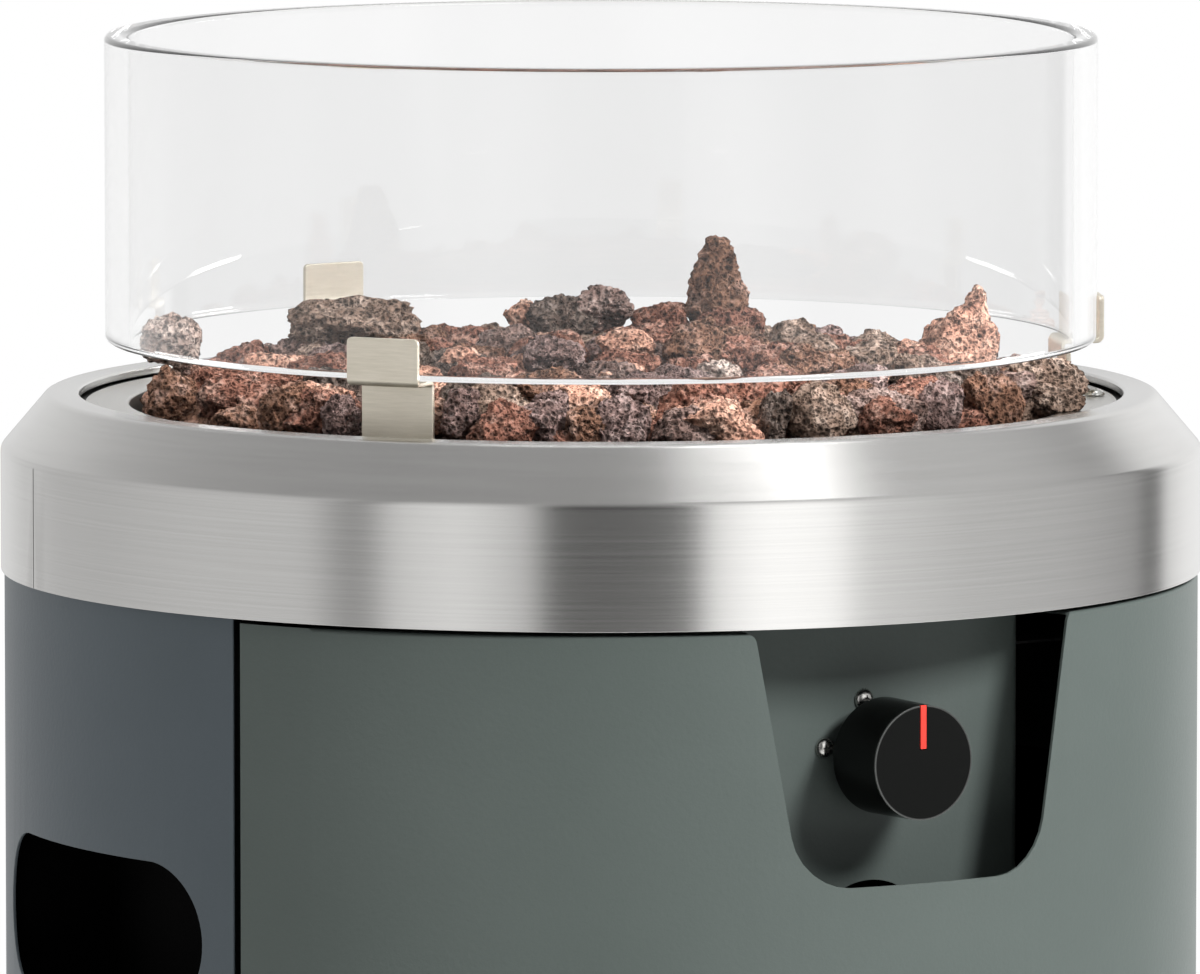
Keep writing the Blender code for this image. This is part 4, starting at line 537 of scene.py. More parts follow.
def round_solid(name, profile, edge, steps):
    """A turned solid with flat ends, rounded at its corners."""
    made = drawn_out(name, profile, steps)
    bpy.ops.mesh.edge_face_add()
    radius, height = profile[0]
    choose(made, "EDGE", lambda middle, part: all(
        abs(corner.co.z - height) < NEAR and abs(math.hypot(corner.co.x, corner.co.y) - radius) < NEAR
        for corner in part.verts
    ))
    bpy.ops.mesh.edge_face_add()
    close_edit(made)
    if edge:
        soften(made, edge, segments=3)
    return smooth(made)


# %% [markdown]
# ## The stainless ring
# One sheet, 1 mm thick: an upright band, a chamfer leaning in, a flat lip and a short fold round the fire
# opening. In the photo the two bends read as soft bright lines, so they get real 3 mm radii.

# %% Stainless ring
RING_BOTTOM = 0.520
BAND_TOP = RING_BOTTOM + 0.0488
RING_TOP = BAND_TOP + 0.0217
CHAMFER_RADIUS = RING_RADIUS - 0.0185
LIP_RADIUS = CHAMFER_RADIUS - 0.0130
SHEET_STEEL = 0.0010

steel_ring = round_sheet(
    "stainless_ring",
    [
        (RING_RADIUS, RING_BOTTOM), (RING_RADIUS, BAND_TOP), (CHAMFER_RADIUS, RING_TOP),
        (LIP_RADIUS, RING_TOP), (LIP_RADIUS, RING_TOP - 0.0035),
    ],
    [(RING_RADIUS, BAND_TOP, 0.0016), (CHAMFER_RADIUS, RING_TOP, 0.0018), (LIP_RADIUS, RING_TOP, 0.0012)],
    SHEET_STEEL,
)
# The band is rolled from a strip and its butt joint shows as a fine upright line at the left.
SEAM_AT = -100.7
seam = box_tool("seam_tool", (-0.00035, -0.0003, RING_BOTTOM - 0.001), (0.00035, 0.002, BAND_TOP - 0.0012))
seam.rotation_euler = (0.0, 0.0, math.radians(SEAM_AT))
seam.location = polar(RING_RADIUS, SEAM_AT)
settle(seam)
cut(steel_ring, [seam])
attach(steel_ring, ring_steel, replaced=["steel_ring"])

# %% [markdown]
# ## Deck and fire pan
# Under the lip lies a black stepped deck, seen in the photo as the dark gap inside the ring. The pan hangs
# in it by a flat flange and its pit goes down past the burner. The flange is brushed like the ring, but
# duller, because it sits over the flames.

# %% Deck, pan and shelf
FITTED_RADIUS = 0.2371
PAN_TOP = RING_TOP - 0.0040
PAN_RADIUS = LIP_RADIUS - 0.0025
PIT_RADIUS = PAN_RADIUS - 0.0175
PIT_FLOOR = PAN_TOP - 0.0565
DECK_TOP = PAN_TOP - 0.0013
DECK_SHOULDER = DECK_TOP - 0.0190
SHELF_TOP = PIT_FLOOR - 0.0260
TUBE_HOLE = 0.0126

deck = round_sheet(
    "deck",
    [
        (FITTED_RADIUS, DECK_SHOULDER - 0.0140), (FITTED_RADIUS, DECK_SHOULDER),
        (FITTED_RADIUS - 0.0150, DECK_SHOULDER), (FITTED_RADIUS - 0.0230, DECK_TOP),
        (PIT_RADIUS + 0.0030, DECK_TOP),
    ],
    [(FITTED_RADIUS, DECK_SHOULDER, 0.0015), (FITTED_RADIUS - 0.0150, DECK_SHOULDER, 0.0012)],
    0.0012,
)
attach(deck, enamel, replaced=["top_deck"])

fire_pan = round_sheet(
    "fire_pan",
    [(PAN_RADIUS, PAN_TOP), (PIT_RADIUS, PAN_TOP), (PIT_RADIUS, PIT_FLOOR), (TUBE_HOLE, PIT_FLOOR)],
    [(PIT_RADIUS, PAN_TOP, 0.0014), (PIT_RADIUS, PIT_FLOOR, 0.0030)],
    SHEET_STEEL,
)
attach(fire_pan, pan_steel, replaced=["burner_pan"])

# %% [markdown]
# ## Rolled sheets: the drum and its door
# The drum and the door start flat, as in the workshop: the blank is a plane as wide as the arc is long,
# its edges are folded by extruding them, Solidify gives the sheet its 1.2 mm, and Booleans punch the
# openings. Narrow upright cuts then let a Simple Deform bend roll the blank round the axis. Cutting while
# flat keeps every opening's outline true, and the rolled face comes out perfectly smooth.

# %% Flat blanks and rolling
ROLL_RADIUS = 0.2386
SHEET_WALL = 0.0012
ROLL_STEP = math.radians(2.5)


def flat_blank(name, half_width, low, high):
    """An upright plane that faces the front, with its middle on the axis."""
    middle = (0.0, 0.0, (low + high) / 2)
    made = add_shape("plane", name, size=1.0, location=middle, rotation=(QUARTER_TURN, 0.0, 0.0))
    made.scale = (2 * half_width, high - low, 1.0)
    return settle(made)


def split_at(places):
    """Cuts the mesh in edit mode along upright planes at places along X, without opening it."""
    for place in places:
        bpy.ops.mesh.select_all(action="SELECT")
        bpy.ops.mesh.bisect(plane_co=(place, 0.0, 0.0), plane_no=(1.0, 0.0, 0.0), use_fill=False)


def fold(piece, test, shift, bend):
    """Extrudes chosen edges to a flange and rounds the fold between."""
    choose(piece, "EDGE", test)
    bpy.ops.mesh.extrude_region_move(TRANSFORM_OT_translate={"value": shift})
    choose(piece, "EDGE", test)
    bpy.ops.mesh.bevel(offset=bend, segments=4, profile=0.5, affect="EDGES")


def roll(piece):
    """Rolls a flat blank round the drum's axis."""
    edit(piece)
    far = max(abs(vertex.co.x) for vertex in piece.data.vertices)
    columns = int(far / ROLL_RADIUS / ROLL_STEP)
    split_at([column * ROLL_STEP * ROLL_RADIUS for column in range(-columns, columns + 1)])
    bpy.ops.object.mode_set(mode="OBJECT")
    across = [vertex.co.x for vertex in piece.data.vertices]
    angle = (max(across) - min(across)) / ROLL_RADIUS
    apply_modifier(piece, "SIMPLE_DEFORM", deform_method="BEND", deform_axis="Z", angle=angle)
    piece.location.y = -ROLL_RADIUS
    settle(piece)
    return smooth(close_edit(edit(piece), 0.00002), 30.0)


def slot_tool(name, middle, height, length, tall, steps=64):
    """A cylinder stretched to a rounded slot, lying across the blank."""
    made = edit(rod_tool(name, min(length, tall) / 2, 0.060, (middle, 0.0, height), steps, lying=True))
    along = max(length - tall, 0.0) / 2
    upwards = max(tall - length, 0.0) / 2
    for side in (-1.0, 1.0):
        choose(made, "VERT", lambda spot, part: (spot.x - middle if along else spot.z - height) * side > 0)
        bpy.ops.transform.translate(value=(side * along, 0.0, side * upwards))
    return close_edit(made)


# %% Drum shell
BASE_BOTTOM = 0.0203
PLINTH_TOP = BASE_BOTTOM + 0.0140
CASING_TOP = 0.56806
DOOR_TURN = math.radians(68.0)
DOOR_GAP = 0.0028
DOOR_HALF = DOOR_TURN * ROLL_RADIUS
OPENING_HALF = DOOR_HALF + DOOR_GAP
SLOT_HEIGHT = RING_BOTTOM - 0.129
SLOT_ACROSS = math.radians(91.6) * ROLL_RADIUS

drum = flat_blank("drum_shell", math.pi * ROLL_RADIUS, BASE_BOTTOM, CASING_TOP)
thicken(drum, SHEET_WALL, even=False)
drum_tools = [box_tool("door_window", (-OPENING_HALF, -0.03, PLINTH_TOP), (OPENING_HALF, 0.03, 0.522))]
for side in (-1, 1):
    drum_tools.append(slot_tool("hand_slot", side * SLOT_ACROSS, SLOT_HEIGHT, 0.159, 0.061))
for number in range(6):
    place = math.radians(180.0 + 7.5 * (number - 2.5))
    place -= math.tau if number > 2 else 0.0
    drum_tools.append(slot_tool("vent", place * ROLL_RADIUS, 0.085, 0.010, 0.046, 24))
cut(drum, drum_tools)
edit(drum)
seam = math.pi * ROLL_RADIUS
choose(drum, "FACE", lambda middle, part: abs(middle.x) > seam - 0.0001)
bpy.ops.mesh.delete(type="FACE")
bpy.ops.object.mode_set(mode="OBJECT")
attach(roll(deburr(drum)), casing_coat, replaced=["casing_shell"])

# %% [markdown]
# ## Outlines drawn point by point
# Folded strips and odd cut-outs start as one vertex that is extruded from corner to corner. Rounding a
# corner while the outline is still a line gives a true radius, whatever the corner's angle, and one more
# extrusion turns the line into a strip or the outline into a cutter.

# %% Draw outlines and strips
def drawn_line(name, points):
    """One vertex, extruded through the corners of a line."""
    made = edit(settle(add_shape("plane", name, size=0.001, location=points[0])))
    bpy.ops.mesh.merge(type="CENTER")
    for here, there in zip(points, points[1:]):
        shift = Vector(there) - Vector(here)
        bpy.ops.mesh.extrude_vertices_move(TRANSFORM_OT_translate={"value": shift})
    return made


def round_corner(piece, corner, radius):
    """Rounds one corner of a line or a flat face to a real radius."""
    corner = Vector(corner)
    shape = bmesh.from_edit_mesh(piece.data)
    vertex = min(shape.verts, key=lambda one: (one.co - corner).length)
    arms = [edge.other_vert(vertex).co - vertex.co for edge in vertex.link_edges]
    setback = radius / math.tan(arms[0].angle(arms[1]) / 2)
    choose(piece, "VERT", lambda middle, part: (middle - corner).length < NEAR)
    bpy.ops.mesh.bevel(offset=setback, segments=6, profile=0.5, affect="VERTICES")


def drawn_strip(name, points, bends, width):
    """A line with rounded corners, extruded sideways to a strip that is still open in edit mode."""
    made = drawn_line(name, points)
    for corner, radius in bends:
        round_corner(made, points[corner], radius)
    bpy.ops.mesh.select_all(action="SELECT")
    bpy.ops.mesh.extrude_region_move(TRANSFORM_OT_translate={"value": width})
    return made


def prism(name, points, rounds, depth):
    """An outline with rounded corners, filled and extruded to a solid."""
    made = drawn_line(name, points)
    bpy.ops.mesh.select_all(action="SELECT")
    bpy.ops.mesh.edge_face_add()
    for corner, radius in rounds:
        round_corner(made, points[corner], radius)
    bpy.ops.mesh.select_all(action="SELECT")
    bpy.ops.mesh.extrude_region_move(TRANSFORM_OT_translate={"value": depth})
    return close_edit(made)


# %% [markdown]
# ## The door
# The door is one blank too: 10 mm returns at both sides and flanges at top and bottom, which stop short of
# the free edge so that the door can swing past its post. The cut-out for the knob leans inwards on both
# sides, has round lower corners and small flared shoulders at the top.

# %% Door leaf
DOOR_BOTTOM = PLINTH_TOP + DOOR_GAP
DOOR_TOP = RING_BOTTOM - 0.0016
FLANGE_FROM = 0.034 - DOOR_HALF
FLANGE_TO = DOOR_HALF - 0.0031
POCKET_TOP_HALF = 0.0735
POCKET_BOTTOM_HALF = 0.0550
POCKET_FLOOR = DOOR_TOP - 0.1000
HINGE_DEPTH = 0.006
HINGE_TURN = DOOR_TURN - HINGE_DEPTH / (ROLL_RADIUS - HINGE_DEPTH)
PIN_HOLE = 0.0028
FOLD = 0.0016             # radius of a folded edge
FLANGE_DEPTH = 0.0134
RETURN_DEPTH = 0.0100

door = flat_blank("door_leaf", DOOR_HALF, DOOR_BOTTOM, DOOR_TOP)
edit(door)
split_at([FLANGE_FROM, FLANGE_TO])
for level in (DOOR_BOTTOM, DOOR_TOP):
    fold(door, lambda middle, part: (
        abs(middle.y) < NEAR and abs(middle.z - level) < NEAR and FLANGE_FROM < middle.x < FLANGE_TO
    ), (0.0, FLANGE_DEPTH, 0.0), FOLD)
for side in (-1, 1):
    fold(
        door, lambda middle, part: abs(middle.y) < NEAR and abs(middle.x - side * DOOR_HALF) < NEAR,
        (0.0, RETURN_DEPTH, 0.0), FOLD,
    )
thicken(close_edit(door), SHEET_WALL)

ledge = DOOR_TOP + 0.0003
above = DOOR_TOP + 0.0300
flare = POCKET_TOP_HALF + 0.012
pocket = prism(
    "knob_pocket",
    [
        (-flare, -0.03, above), (-flare, -0.03, ledge), (-POCKET_TOP_HALF, -0.03, ledge),
        (-POCKET_BOTTOM_HALF, -0.03, POCKET_FLOOR), (POCKET_BOTTOM_HALF, -0.03, POCKET_FLOOR),
        (POCKET_TOP_HALF, -0.03, ledge), (flare, -0.03, ledge), (flare, -0.03, above),
    ],
    [(2, 0.0045), (5, 0.0045), (3, 0.025), (4, 0.025)],
    (0.0, 0.060, 0.0),
)
pin_hole = rod_tool("pin_hole", PIN_HOLE, 0.6, (HINGE_TURN * ROLL_RADIUS, HINGE_DEPTH, 0.28), 24)
cut(door, [pocket, pin_hole])
attach(roll(deburr(door)), powder_coat, "door", ["door_panel"])

# %% [markdown]
# ## Base, feet, bottle ring and shelf
# The floor of the bottle bay is a plate with an upturned rim. Four rubber feet lift it, and a low steel
# ring keeps a gas bottle in its place. The shelf above the bay is cut back behind the door and the panel.

# %% Base, feet, bottle ring and shelf
BASE_SHEET = 0.0015
SEAT_GAP = 0.0003         # the play between pieces that touch
BOTTLE_RADIUS = 0.1165

base = round_sheet(
    "base_tray",
    [(FITTED_RADIUS, BASE_BOTTOM + 0.0090), (FITTED_RADIUS, BASE_BOTTOM), (0.010, BASE_BOTTOM)],
    [(FITTED_RADIUS, BASE_BOTTOM, 0.0020)],
    BASE_SHEET,
    filled=True,
)
drains = [polar(0.070, 90.0 * number + 3.75, 0.02) for number in range(4)]
cut(base, [rod_tool("drain_tool", 0.012, 0.03, drain, 40) for drain in drains])
attach(base, enamel, replaced=["base_plate"])

FOOT_CIRCLE = FITTED_RADIUS - 0.0421
for number in range(4):
    foot = round_solid(
        f"rubber_foot_{number + 1}",
        [(0.0165, 0.0), (0.0185, 0.0008), (0.0208, 0.0040), (0.0210, 0.0060), (0.0210, 0.0200)],
        0.0006, 64,
    )
    foot.location = polar(FOOT_CIRCLE, 90.0 * (number + 0.5))
    settle(foot)
    attach(foot, rubber, replaced=[f"foot_{number + 1}"])

stop_low = BASE_BOTTOM + BASE_SHEET + SEAT_GAP
stop_top = stop_low + 0.013
stop_outer = BOTTLE_RADIUS + 0.0020
bottle_stop = round_loop(
    "bottle_stop",
    [(BOTTLE_RADIUS, stop_low), (stop_outer, stop_low), (stop_outer, stop_top), (BOTTLE_RADIUS, stop_top)],
    0.0007,
)
attach(bottle_stop, enamel, replaced=["bottle_ring"])

shelf = round_sheet(
    "bay_shelf",
    [(FITTED_RADIUS, SHELF_TOP - 0.0120), (FITTED_RADIUS, SHELF_TOP), (TUBE_HOLE, SHELF_TOP)],
    [(FITTED_RADIUS, SHELF_TOP, 0.0016)],
    SHEET_STEEL,
)
SHELF_FRONT = FITTED_RADIUS - 0.0171
POST_REACH = 0.0117       # from the opening's edge to the far side of a post, along the casing
clear_turn = math.degrees(DOOR_TURN + DOOR_GAP / ROLL_RADIUS + POST_REACH / 0.2374)
low, high = SHELF_TOP - 0.020, SHELF_TOP + 0.010
sweep = [polar(SHELF_FRONT, -clear_turn + step * clear_turn / 24, low) for step in range(49)]
sweep += [polar(0.26, clear_turn - step * clear_turn / 6, low) for step in range(13)]
door_room = prism("door_room", sweep, [], (0.0, 0.0, high - low))
panel_room = box_tool("panel_room", (-0.095, -0.26, low), (0.095, -0.1955, high))
cut(shelf, [door_room, panel_room])
attach(shelf, enamel, replaced=["heat_shield"])

# %% [markdown]
# ## Glass guard
# The guard is a heavy tube, 9.5 mm thick, with fire-polished rims. Its thickness is what the photo shows
# best: a bright outer line, a grey core and an inner line at each side. The rims get a real round.

# %% Glass guard
GLASS_RADIUS = PIT_RADIUS + 0.0096
GLASS_INNER = GLASS_RADIUS - 0.0095
LEDGE_TOP = RING_TOP + 0.0204
GLASS_BOTTOM = LEDGE_TOP + SEAT_GAP
GLASS_TOP = GLASS_BOTTOM + 0.1220
guard = round_loop(
    "glass_tube",
    [
        (GLASS_INNER, GLASS_BOTTOM), (GLASS_RADIUS, GLASS_BOTTOM),
        (GLASS_RADIUS, GLASS_TOP), (GLASS_INNER, GLASS_TOP),
    ],
    0.0022, steps=256, segments=4,
)
attach(guard, guard_glass, "guard", ["glass_guard"])

# %% [markdown]
# ## Brackets, rivets and screws
# Each bracket is one strip of 2 mm stainless, bent twice: a leg riveted to the pan's wall, a ledge under
# the glass and a tab outside it. The heads are round, with a cross recess where a driver goes.

# %% Strip brackets with their rivets
STRIP_WIDTH = 0.0305
STRIP_SHEET = 0.0020
LEG_FACE = 0.18718
LEDGE_BOTTOM = LEDGE_TOP - STRIP_SHEET
TAB_FACE = GLASS_RADIUS + 0.0004 + STRIP_SHEET
TAB_TOP = LEDGE_TOP + 0.0169
BRACKET_TURNS = (-57.0, 63.0, 183.0)
HEAD_RADIUS = 0.0042
SHANK_RADIUS = 0.0020
half = STRIP_WIDTH / 2


def round_head(name, seat, length, head_height=0.0026, recess=True):
    """A screw or rivet that stands on a height, with a domed head and its shank below."""
    dome = [(SHANK_RADIUS, seat - length), (SHANK_RADIUS, seat), (HEAD_RADIUS, seat)]
    for step in range(1, 6):
        turn = math.radians(15.0 * step)
        dome.append((HEAD_RADIUS * math.cos(turn), seat + head_height * math.sin(turn)))
    made = round_solid(name, dome, 0.0, 40)
    if recess:
        arm, slit = HEAD_RADIUS * 0.40, 0.0003
        top = seat + head_height
        for x, y in ((arm, slit), (slit, arm)):
            cut(made, [box_tool("recess", (-x, -y, top - 0.0010), (x, y, top + 0.001))])
    return smooth(soften(made, 0.00016, degrees=35.0))


for number, angle in enumerate(BRACKET_TURNS):
    path = [
        (-half, -LEG_FACE, PAN_TOP - 0.0445), (-half, -LEG_FACE, LEDGE_BOTTOM),
        (-half, -TAB_FACE, LEDGE_BOTTOM), (-half, -TAB_FACE, TAB_TOP),
    ]
    width = (STRIP_WIDTH, 0.0, 0.0)
    bracket = drawn_strip(f"guard_strip_{number + 1}", path, [(2, 0.003), (1, 0.001)], width)
    for side in (-half, half):
        round_corner(bracket, (side, -TAB_FACE, TAB_TOP), 0.002)
    soften(thicken(close_edit(bracket), STRIP_SHEET), 0.0004, segments=3, degrees=60.0)
    bracket.rotation_euler.z = math.radians(angle)
    smooth(settle(bracket))
    attach(bracket, strip_steel, replaced=[f"guard_bracket_{number + 1}"])

    seat = LEG_FACE - STRIP_SHEET - SEAT_GAP
    length = PIT_RADIUS + SHEET_STEEL - seat + 0.002
    rivet = round_head(f"strip_rivet_{number + 1}", 0.0, length, 0.0015, recess=False)
    rivet.rotation_euler = (-QUARTER_TURN, 0.0, math.radians(angle))
    rivet.location = polar(seat, angle, PAN_TOP - 0.0260)
    attach(settle(rivet), bright_zinc, replaced=[f"bracket_rivet_{number + 1}"])

    screw = round_head(f"flange_screw_{number + 1}", PAN_TOP + SEAT_GAP, 0.0090)
    screw.location = polar(PIT_RADIUS + 0.0100, angle)
    attach(settle(screw), bright_zinc, replaced=[f"pan_screw_{number + 1}"])

# %% [markdown]
# ## Control panel and knob
# Behind the door's cut-out stands a flat painted plate with folded sides. The knob is a plain black
# cylinder with a crisp edge, hollow behind, with a red bar let into its face. Two small screws hold the
# valve: one shines in the lamp light and the other lies in the knob's shadow.

# %% Control panel
KNOB_HEIGHT = RING_BOTTOM - 0.0552
KNOB_FACE = RING_RADIUS - 0.0050
KNOB_BACK = KNOB_FACE - 0.0290
PANEL_FACE = RING_RADIUS - 0.0430
PANEL_HALF = 0.0700
PANEL_BOTTOM = RING_BOTTOM - 0.1350
PANEL_TOP = RING_BOTTOM + 0.0070
returns = -(PANEL_FACE - 0.0250)

panel_path = [
    (-PANEL_HALF, returns, PANEL_BOTTOM), (-PANEL_HALF, -PANEL_FACE, PANEL_BOTTOM),
    (PANEL_HALF, -PANEL_FACE, PANEL_BOTTOM), (PANEL_HALF, returns, PANEL_BOTTOM),
]
panel_height = (0.0, 0.0, PANEL_TOP - PANEL_BOTTOM)
panel = drawn_strip("valve_panel", panel_path, [(2, 0.004), (1, 0.004)], panel_height)
thicken(close_edit(panel), SHEET_WALL)
panel_tools = [
    rod_tool("panel_hole", radius, 0.04, (0.0, -PANEL_FACE, height), 96, lying=True)
    for radius, height in ((0.0300, PANEL_BOTTOM), (0.0088, KNOB_HEIGHT))
]
panel_tools.append(box_tool("shelf_room", (-0.08, 0.0020 - PANEL_FACE, 0.5027), (0.08, 0.0, 0.54)))
attach(smooth(deburr(cut(panel, panel_tools))), powder_coat, replaced=["control_panel"])

# %% Knob, pointer and valve screws
KNOB_RADIUS = 0.0228
STEM_HOLE = 0.0033
knob_front = 0.0290

# The rim of the knob's face is painted paler as a highlight, and the nylon is made glossier there.
knob_nylon = coated("knob_nylon", *BLACK_NYLON)
tree = knob_nylon.node_tree
shader = tree.nodes["Principled BSDF"]
place = add_node(tree, "TexCoord").outputs["Object"]
flatten = {0: place, 1: (1.0, 0.0, 1.0), 2: (0.0, 0.0, -KNOB_HEIGHT)}
flat = add_node(tree, "VectorMath", flatten, operation="MULTIPLY_ADD")
from_axis = add_node(tree, "VectorMath", {0: flat}, operation="LENGTH").outputs["Value"]
depth = add_node(tree, "SeparateXYZ", {0: place}).outputs["Y"]
outer = add_node(tree, "MapRange", {
    "Value": from_axis, "From Min": KNOB_RADIUS - 0.0012, "From Max": KNOB_RADIUS - 0.0007,
})
front = add_node(tree, "MapRange", {
    "Value": depth, "From Min": 0.0009 - KNOB_FACE, "From Max": 0.0004 - KNOB_FACE,
})
rim = add_node(tree, "Math", {0: outer, 1: front}, operation="MULTIPLY")
skin = shader.inputs["Base Color"].links[0].from_socket
# Painted highlight: the rim's colour is mixed towards a paler grey.
painted_rim_highlight = add_node(tree, "Mix", {"Factor": rim, "A": skin, "B": display("#3c3e3c")}, data_type="RGBA")
gloss = add_node(tree, "MapRange", {"Value": rim, "To Min": 0.14, "To Max": 1.0})
tree.links.new(painted_rim_highlight.outputs[2], shader.inputs["Base Color"])
tree.links.new(gloss.outputs[0], shader.inputs["Specular IOR Level"])


def face_front(piece):
    """Turns a piece made on the Z axis so that it points out of the front on the knob's axis."""
    piece.rotation_euler = (QUARTER_TURN, 0.0, 0.0)
    piece.location = (0.0, -KNOB_BACK, KNOB_HEIGHT)
    return settle(piece)


knob = round_solid(
    "gas_knob",
    [
        (KNOB_RADIUS - 0.0004, knob_front), (KNOB_RADIUS, 0.0), (KNOB_RADIUS - 0.0022, 0.0),
        (KNOB_RADIUS - 0.0022, 0.0120), (0.0065, 0.0120), (0.0065, 0.0023),
        (STEM_HOLE, 0.0023), (STEM_HOLE, 0.0223),
    ],
    0.0, 96,
)
pointer_room = box_tool("pointer_room", (-0.00165, 0.0051, knob_front - 0.0013), (0.00165, 0.03, 0.04))
soften(cut(knob, [pointer_room]), 0.0008, segments=3, degrees=50.0)
attach(face_front(smooth(knob)), knob_nylon, "knob", ["knob"])

pointer_end = KNOB_RADIUS - 0.0004
pointer = box_tool(
    "pointer_bar", (-0.00135, pointer_end - 0.0170, knob_front - 0.0010),
    (0.00135, pointer_end, knob_front + 0.0002),
)
soften(pointer, 0.0003, segments=3)
attach(face_front(smooth(pointer)), pointer_red, "knob", ["knob_pointer"])

FIXING_CIRCLE = 0.0214
for number, angle in enumerate((98.0, 171.0)):
    screw = round_head(f"valve_fixing_{number + 1}", PANEL_FACE + SEAT_GAP - KNOB_BACK, 0.0070)
    turn = math.radians(angle)
    screw.location = (FIXING_CIRCLE * math.cos(turn), FIXING_CIRCLE * math.sin(turn), 0.0)
    attach(face_front(settle(screw)), bright_zinc, replaced=[f"valve_screw_{number + 1}"])

# %% [markdown]
# ## Lava rocks
# A lava rock is a broken lump, so each kind starts as a sphere that planes cut flat here and there. The
# corners are rounded, a voxel remesh spreads even faces over the lump, and two Displace modifiers press the
# coarse dents and the larger gas pores into it. Eight kinds, turned and stretched, look like a full bed.

# %% Eight kinds of rock
ROCK_KINDS = 8


def pattern(kind, name, size, **settings):
    """A texture for Displace."""
    made = bpy.data.textures.new(name, kind)
    made.noise_scale = size
    for key, value in settings.items():
        setattr(made, key, value)
    return made


dents = pattern("CLOUDS", "rock_dents", 0.30, noise_depth=4)
pores = pattern("VORONOI", "rock_pores", 0.075, distance_metric="DISTANCE")


def broken(piece, planes):
    """Cuts flat faces off a lump along (distance, normal) planes."""
    edit(piece)
    for distance, normal in planes:
        bpy.ops.mesh.select_all(action="SELECT")
        bpy.ops.mesh.bisect(plane_co=normal * distance, plane_no=normal, use_fill=True, clear_outer=True)
    return close_edit(piece, 0.002)


def weathered(piece, fineness=0.030):
    """Gives a broken lump its dents and open gas pores."""
    soften(piece, 0.012, segments=1, degrees=22.0)
    apply_modifier(piece, "REMESH", mode="VOXEL", voxel_size=fineness)
    apply_modifier(piece, "DISPLACE", texture=dents, strength=0.17, mid_level=0.5, texture_coords="LOCAL")
    apply_modifier(piece, "DISPLACE", texture=pores, strength=0.085, mid_level=0.45, texture_coords="LOCAL")
    return smooth(piece, 60.0, weighted=False)


def lump(name, size):
    """A stretched sphere, about one unit across."""
    made = add_shape("ico_sphere", name, subdivisions=3, radius=0.5)
    made.scale = size
    return settle(made)


def rock_kind(number, fineness=0.030):
    """A lump about one unit across, to be scaled to millimetres later."""
    chance = random.Random(40 + number)
    made = lump(f"rock_kind_{number}", (1.0, chance.uniform(0.74, 0.95), chance.uniform(0.70, 0.90)))
    planes = []
    for _ in range(12):
        tilt = chance.uniform(-1.0, 1.0)
        turn = chance.uniform(0.0, math.tau)
        flat = math.sqrt(1 - tilt * tilt)
        normal = Vector((flat * math.cos(turn), flat * math.sin(turn), tilt))
        planes.append((chance.uniform(0.24, 0.39), normal))
    return weathered(broken(made, planes), fineness)


rock_kinds = [rock_kind(number) for number in range(ROCK_KINDS)]
deep_kinds = [rock_kind(number, 0.075) for number in range(ROCK_KINDS)]
spire_sides = [(0.235, Vector((math.cos(turn), math.sin(turn), 0.24)).normalized()) for turn in range(6)]
spire_sides.append((0.47, Vector((0.1, 0.0, 1.0))))
spire = weathered(broken(lump("rock_spire", (0.80, 0.74, 1.30)), spire_sides))
wedge_sides = [
    (0.06, Vector((-0.66, -0.10, 0.75))), (0.25, Vector((0.95, 0.0, 0.31))),
    (0.22, Vector((0.1, -0.96, 0.25))), (0.20, Vector((0.0, 0.97, 0.2))), (0.30, Vector((0.0, 0.0, -1.0))),
]
wedge = weathered(broken(lump("rock_wedge", (1.1, 0.8, 1.1)), wedge_sides))
print("rock kinds:", [len(kind.data.polygons) for kind in rock_kinds])

# %% [markdown]
# ## Laying the bed
# The rocks that show in the photo are laid one by one: across, back and height as seen from the camera,
# then width, height of the lump and colour. Below them two full layers fill the pan in a sunflower
# pattern, which keeps a bed even without rows. Rocks of one colour are joined, so the bed is a few pieces.

# %% Lay and join the rocks
CAMERA_ANGLE = -32.0      # the photo was taken from the left of the door
CAMERA_TURN = math.radians(CAMERA_ANGLE)
SEEN_ROCKS = (
    (-145, 77, 598, 32, 11, "r"), (-115, 3, 602, 25, 6, "s"),
    (-118, 77, 602, 36, 13, "v"), (-56, -43, 608, 31, 13, "s"),
    (-70, 79, 606, 19, 8, "b"), (-51, 79, 606, 22, 8, "r"), (-33, 79, 613, 16, 15, "s"),
    (-17, 79, 612, 33, 21, "d"), (-1, 79, 619, 30, 18, "v"), (-17, -61, 610, 26, 17, "g"),
    (9, -19, 611, 26, 14, "s"), (5, -75, 606, 29, 7, "s"),
    (52, 79, 610, 30, 20, "r"), (23, 79, 614, 24, 10, "r"), (36, -31, 612, 26, 22, "b"),
    (79, 51, 607, 24, 16, "o"), (60, -51, 608, 20, 13, "r"), (81, -41, 606, 22, 12, "b"),
    (47, -71, 606, 21, 7, "p"), (112, 79, 601, 36, 14, "o"),
    (141, 77, 598, 15, 9, "b"), (-169, -39, 590, 24, 27, "b"), (-144, -69, 594, 31, 22, "r"),
    (-143, -99, 586, 22, 17, "b"), (-120, -123, 593, 27, 26, "b"), (-101, -141, 592, 18, 22, "g"),
    (-54, -149, 595, 18, 23, "g"), (-37, -165, 593, 32, 26, "r"), (-18, -155, 595, 18, 22, "g"),
    (-8, -165, 590, 19, 21, "b"), (10, -165, 592, 22, 27, "g"), (44, -159, 593, 44, 27, "s"),
    (68, -155, 594, 14, 27, "d"), (86, -147, 594, 30, 28, "o"), (113, -131, 590, 24, 22, "r"),
    (133, -113, 593, 19, 30, "g"), (154, -75, 592, 26, 30, "b"), (-77, -153, 594, 23, 27, "r"),
    (182, -12, 591, 29, 22, "b"),
)
ACROSS = Vector((math.cos(CAMERA_TURN), math.sin(CAMERA_TURN), 0.0))
BACK = Vector((-math.sin(CAMERA_TURN), math.cos(CAMERA_TURN), 0.0))
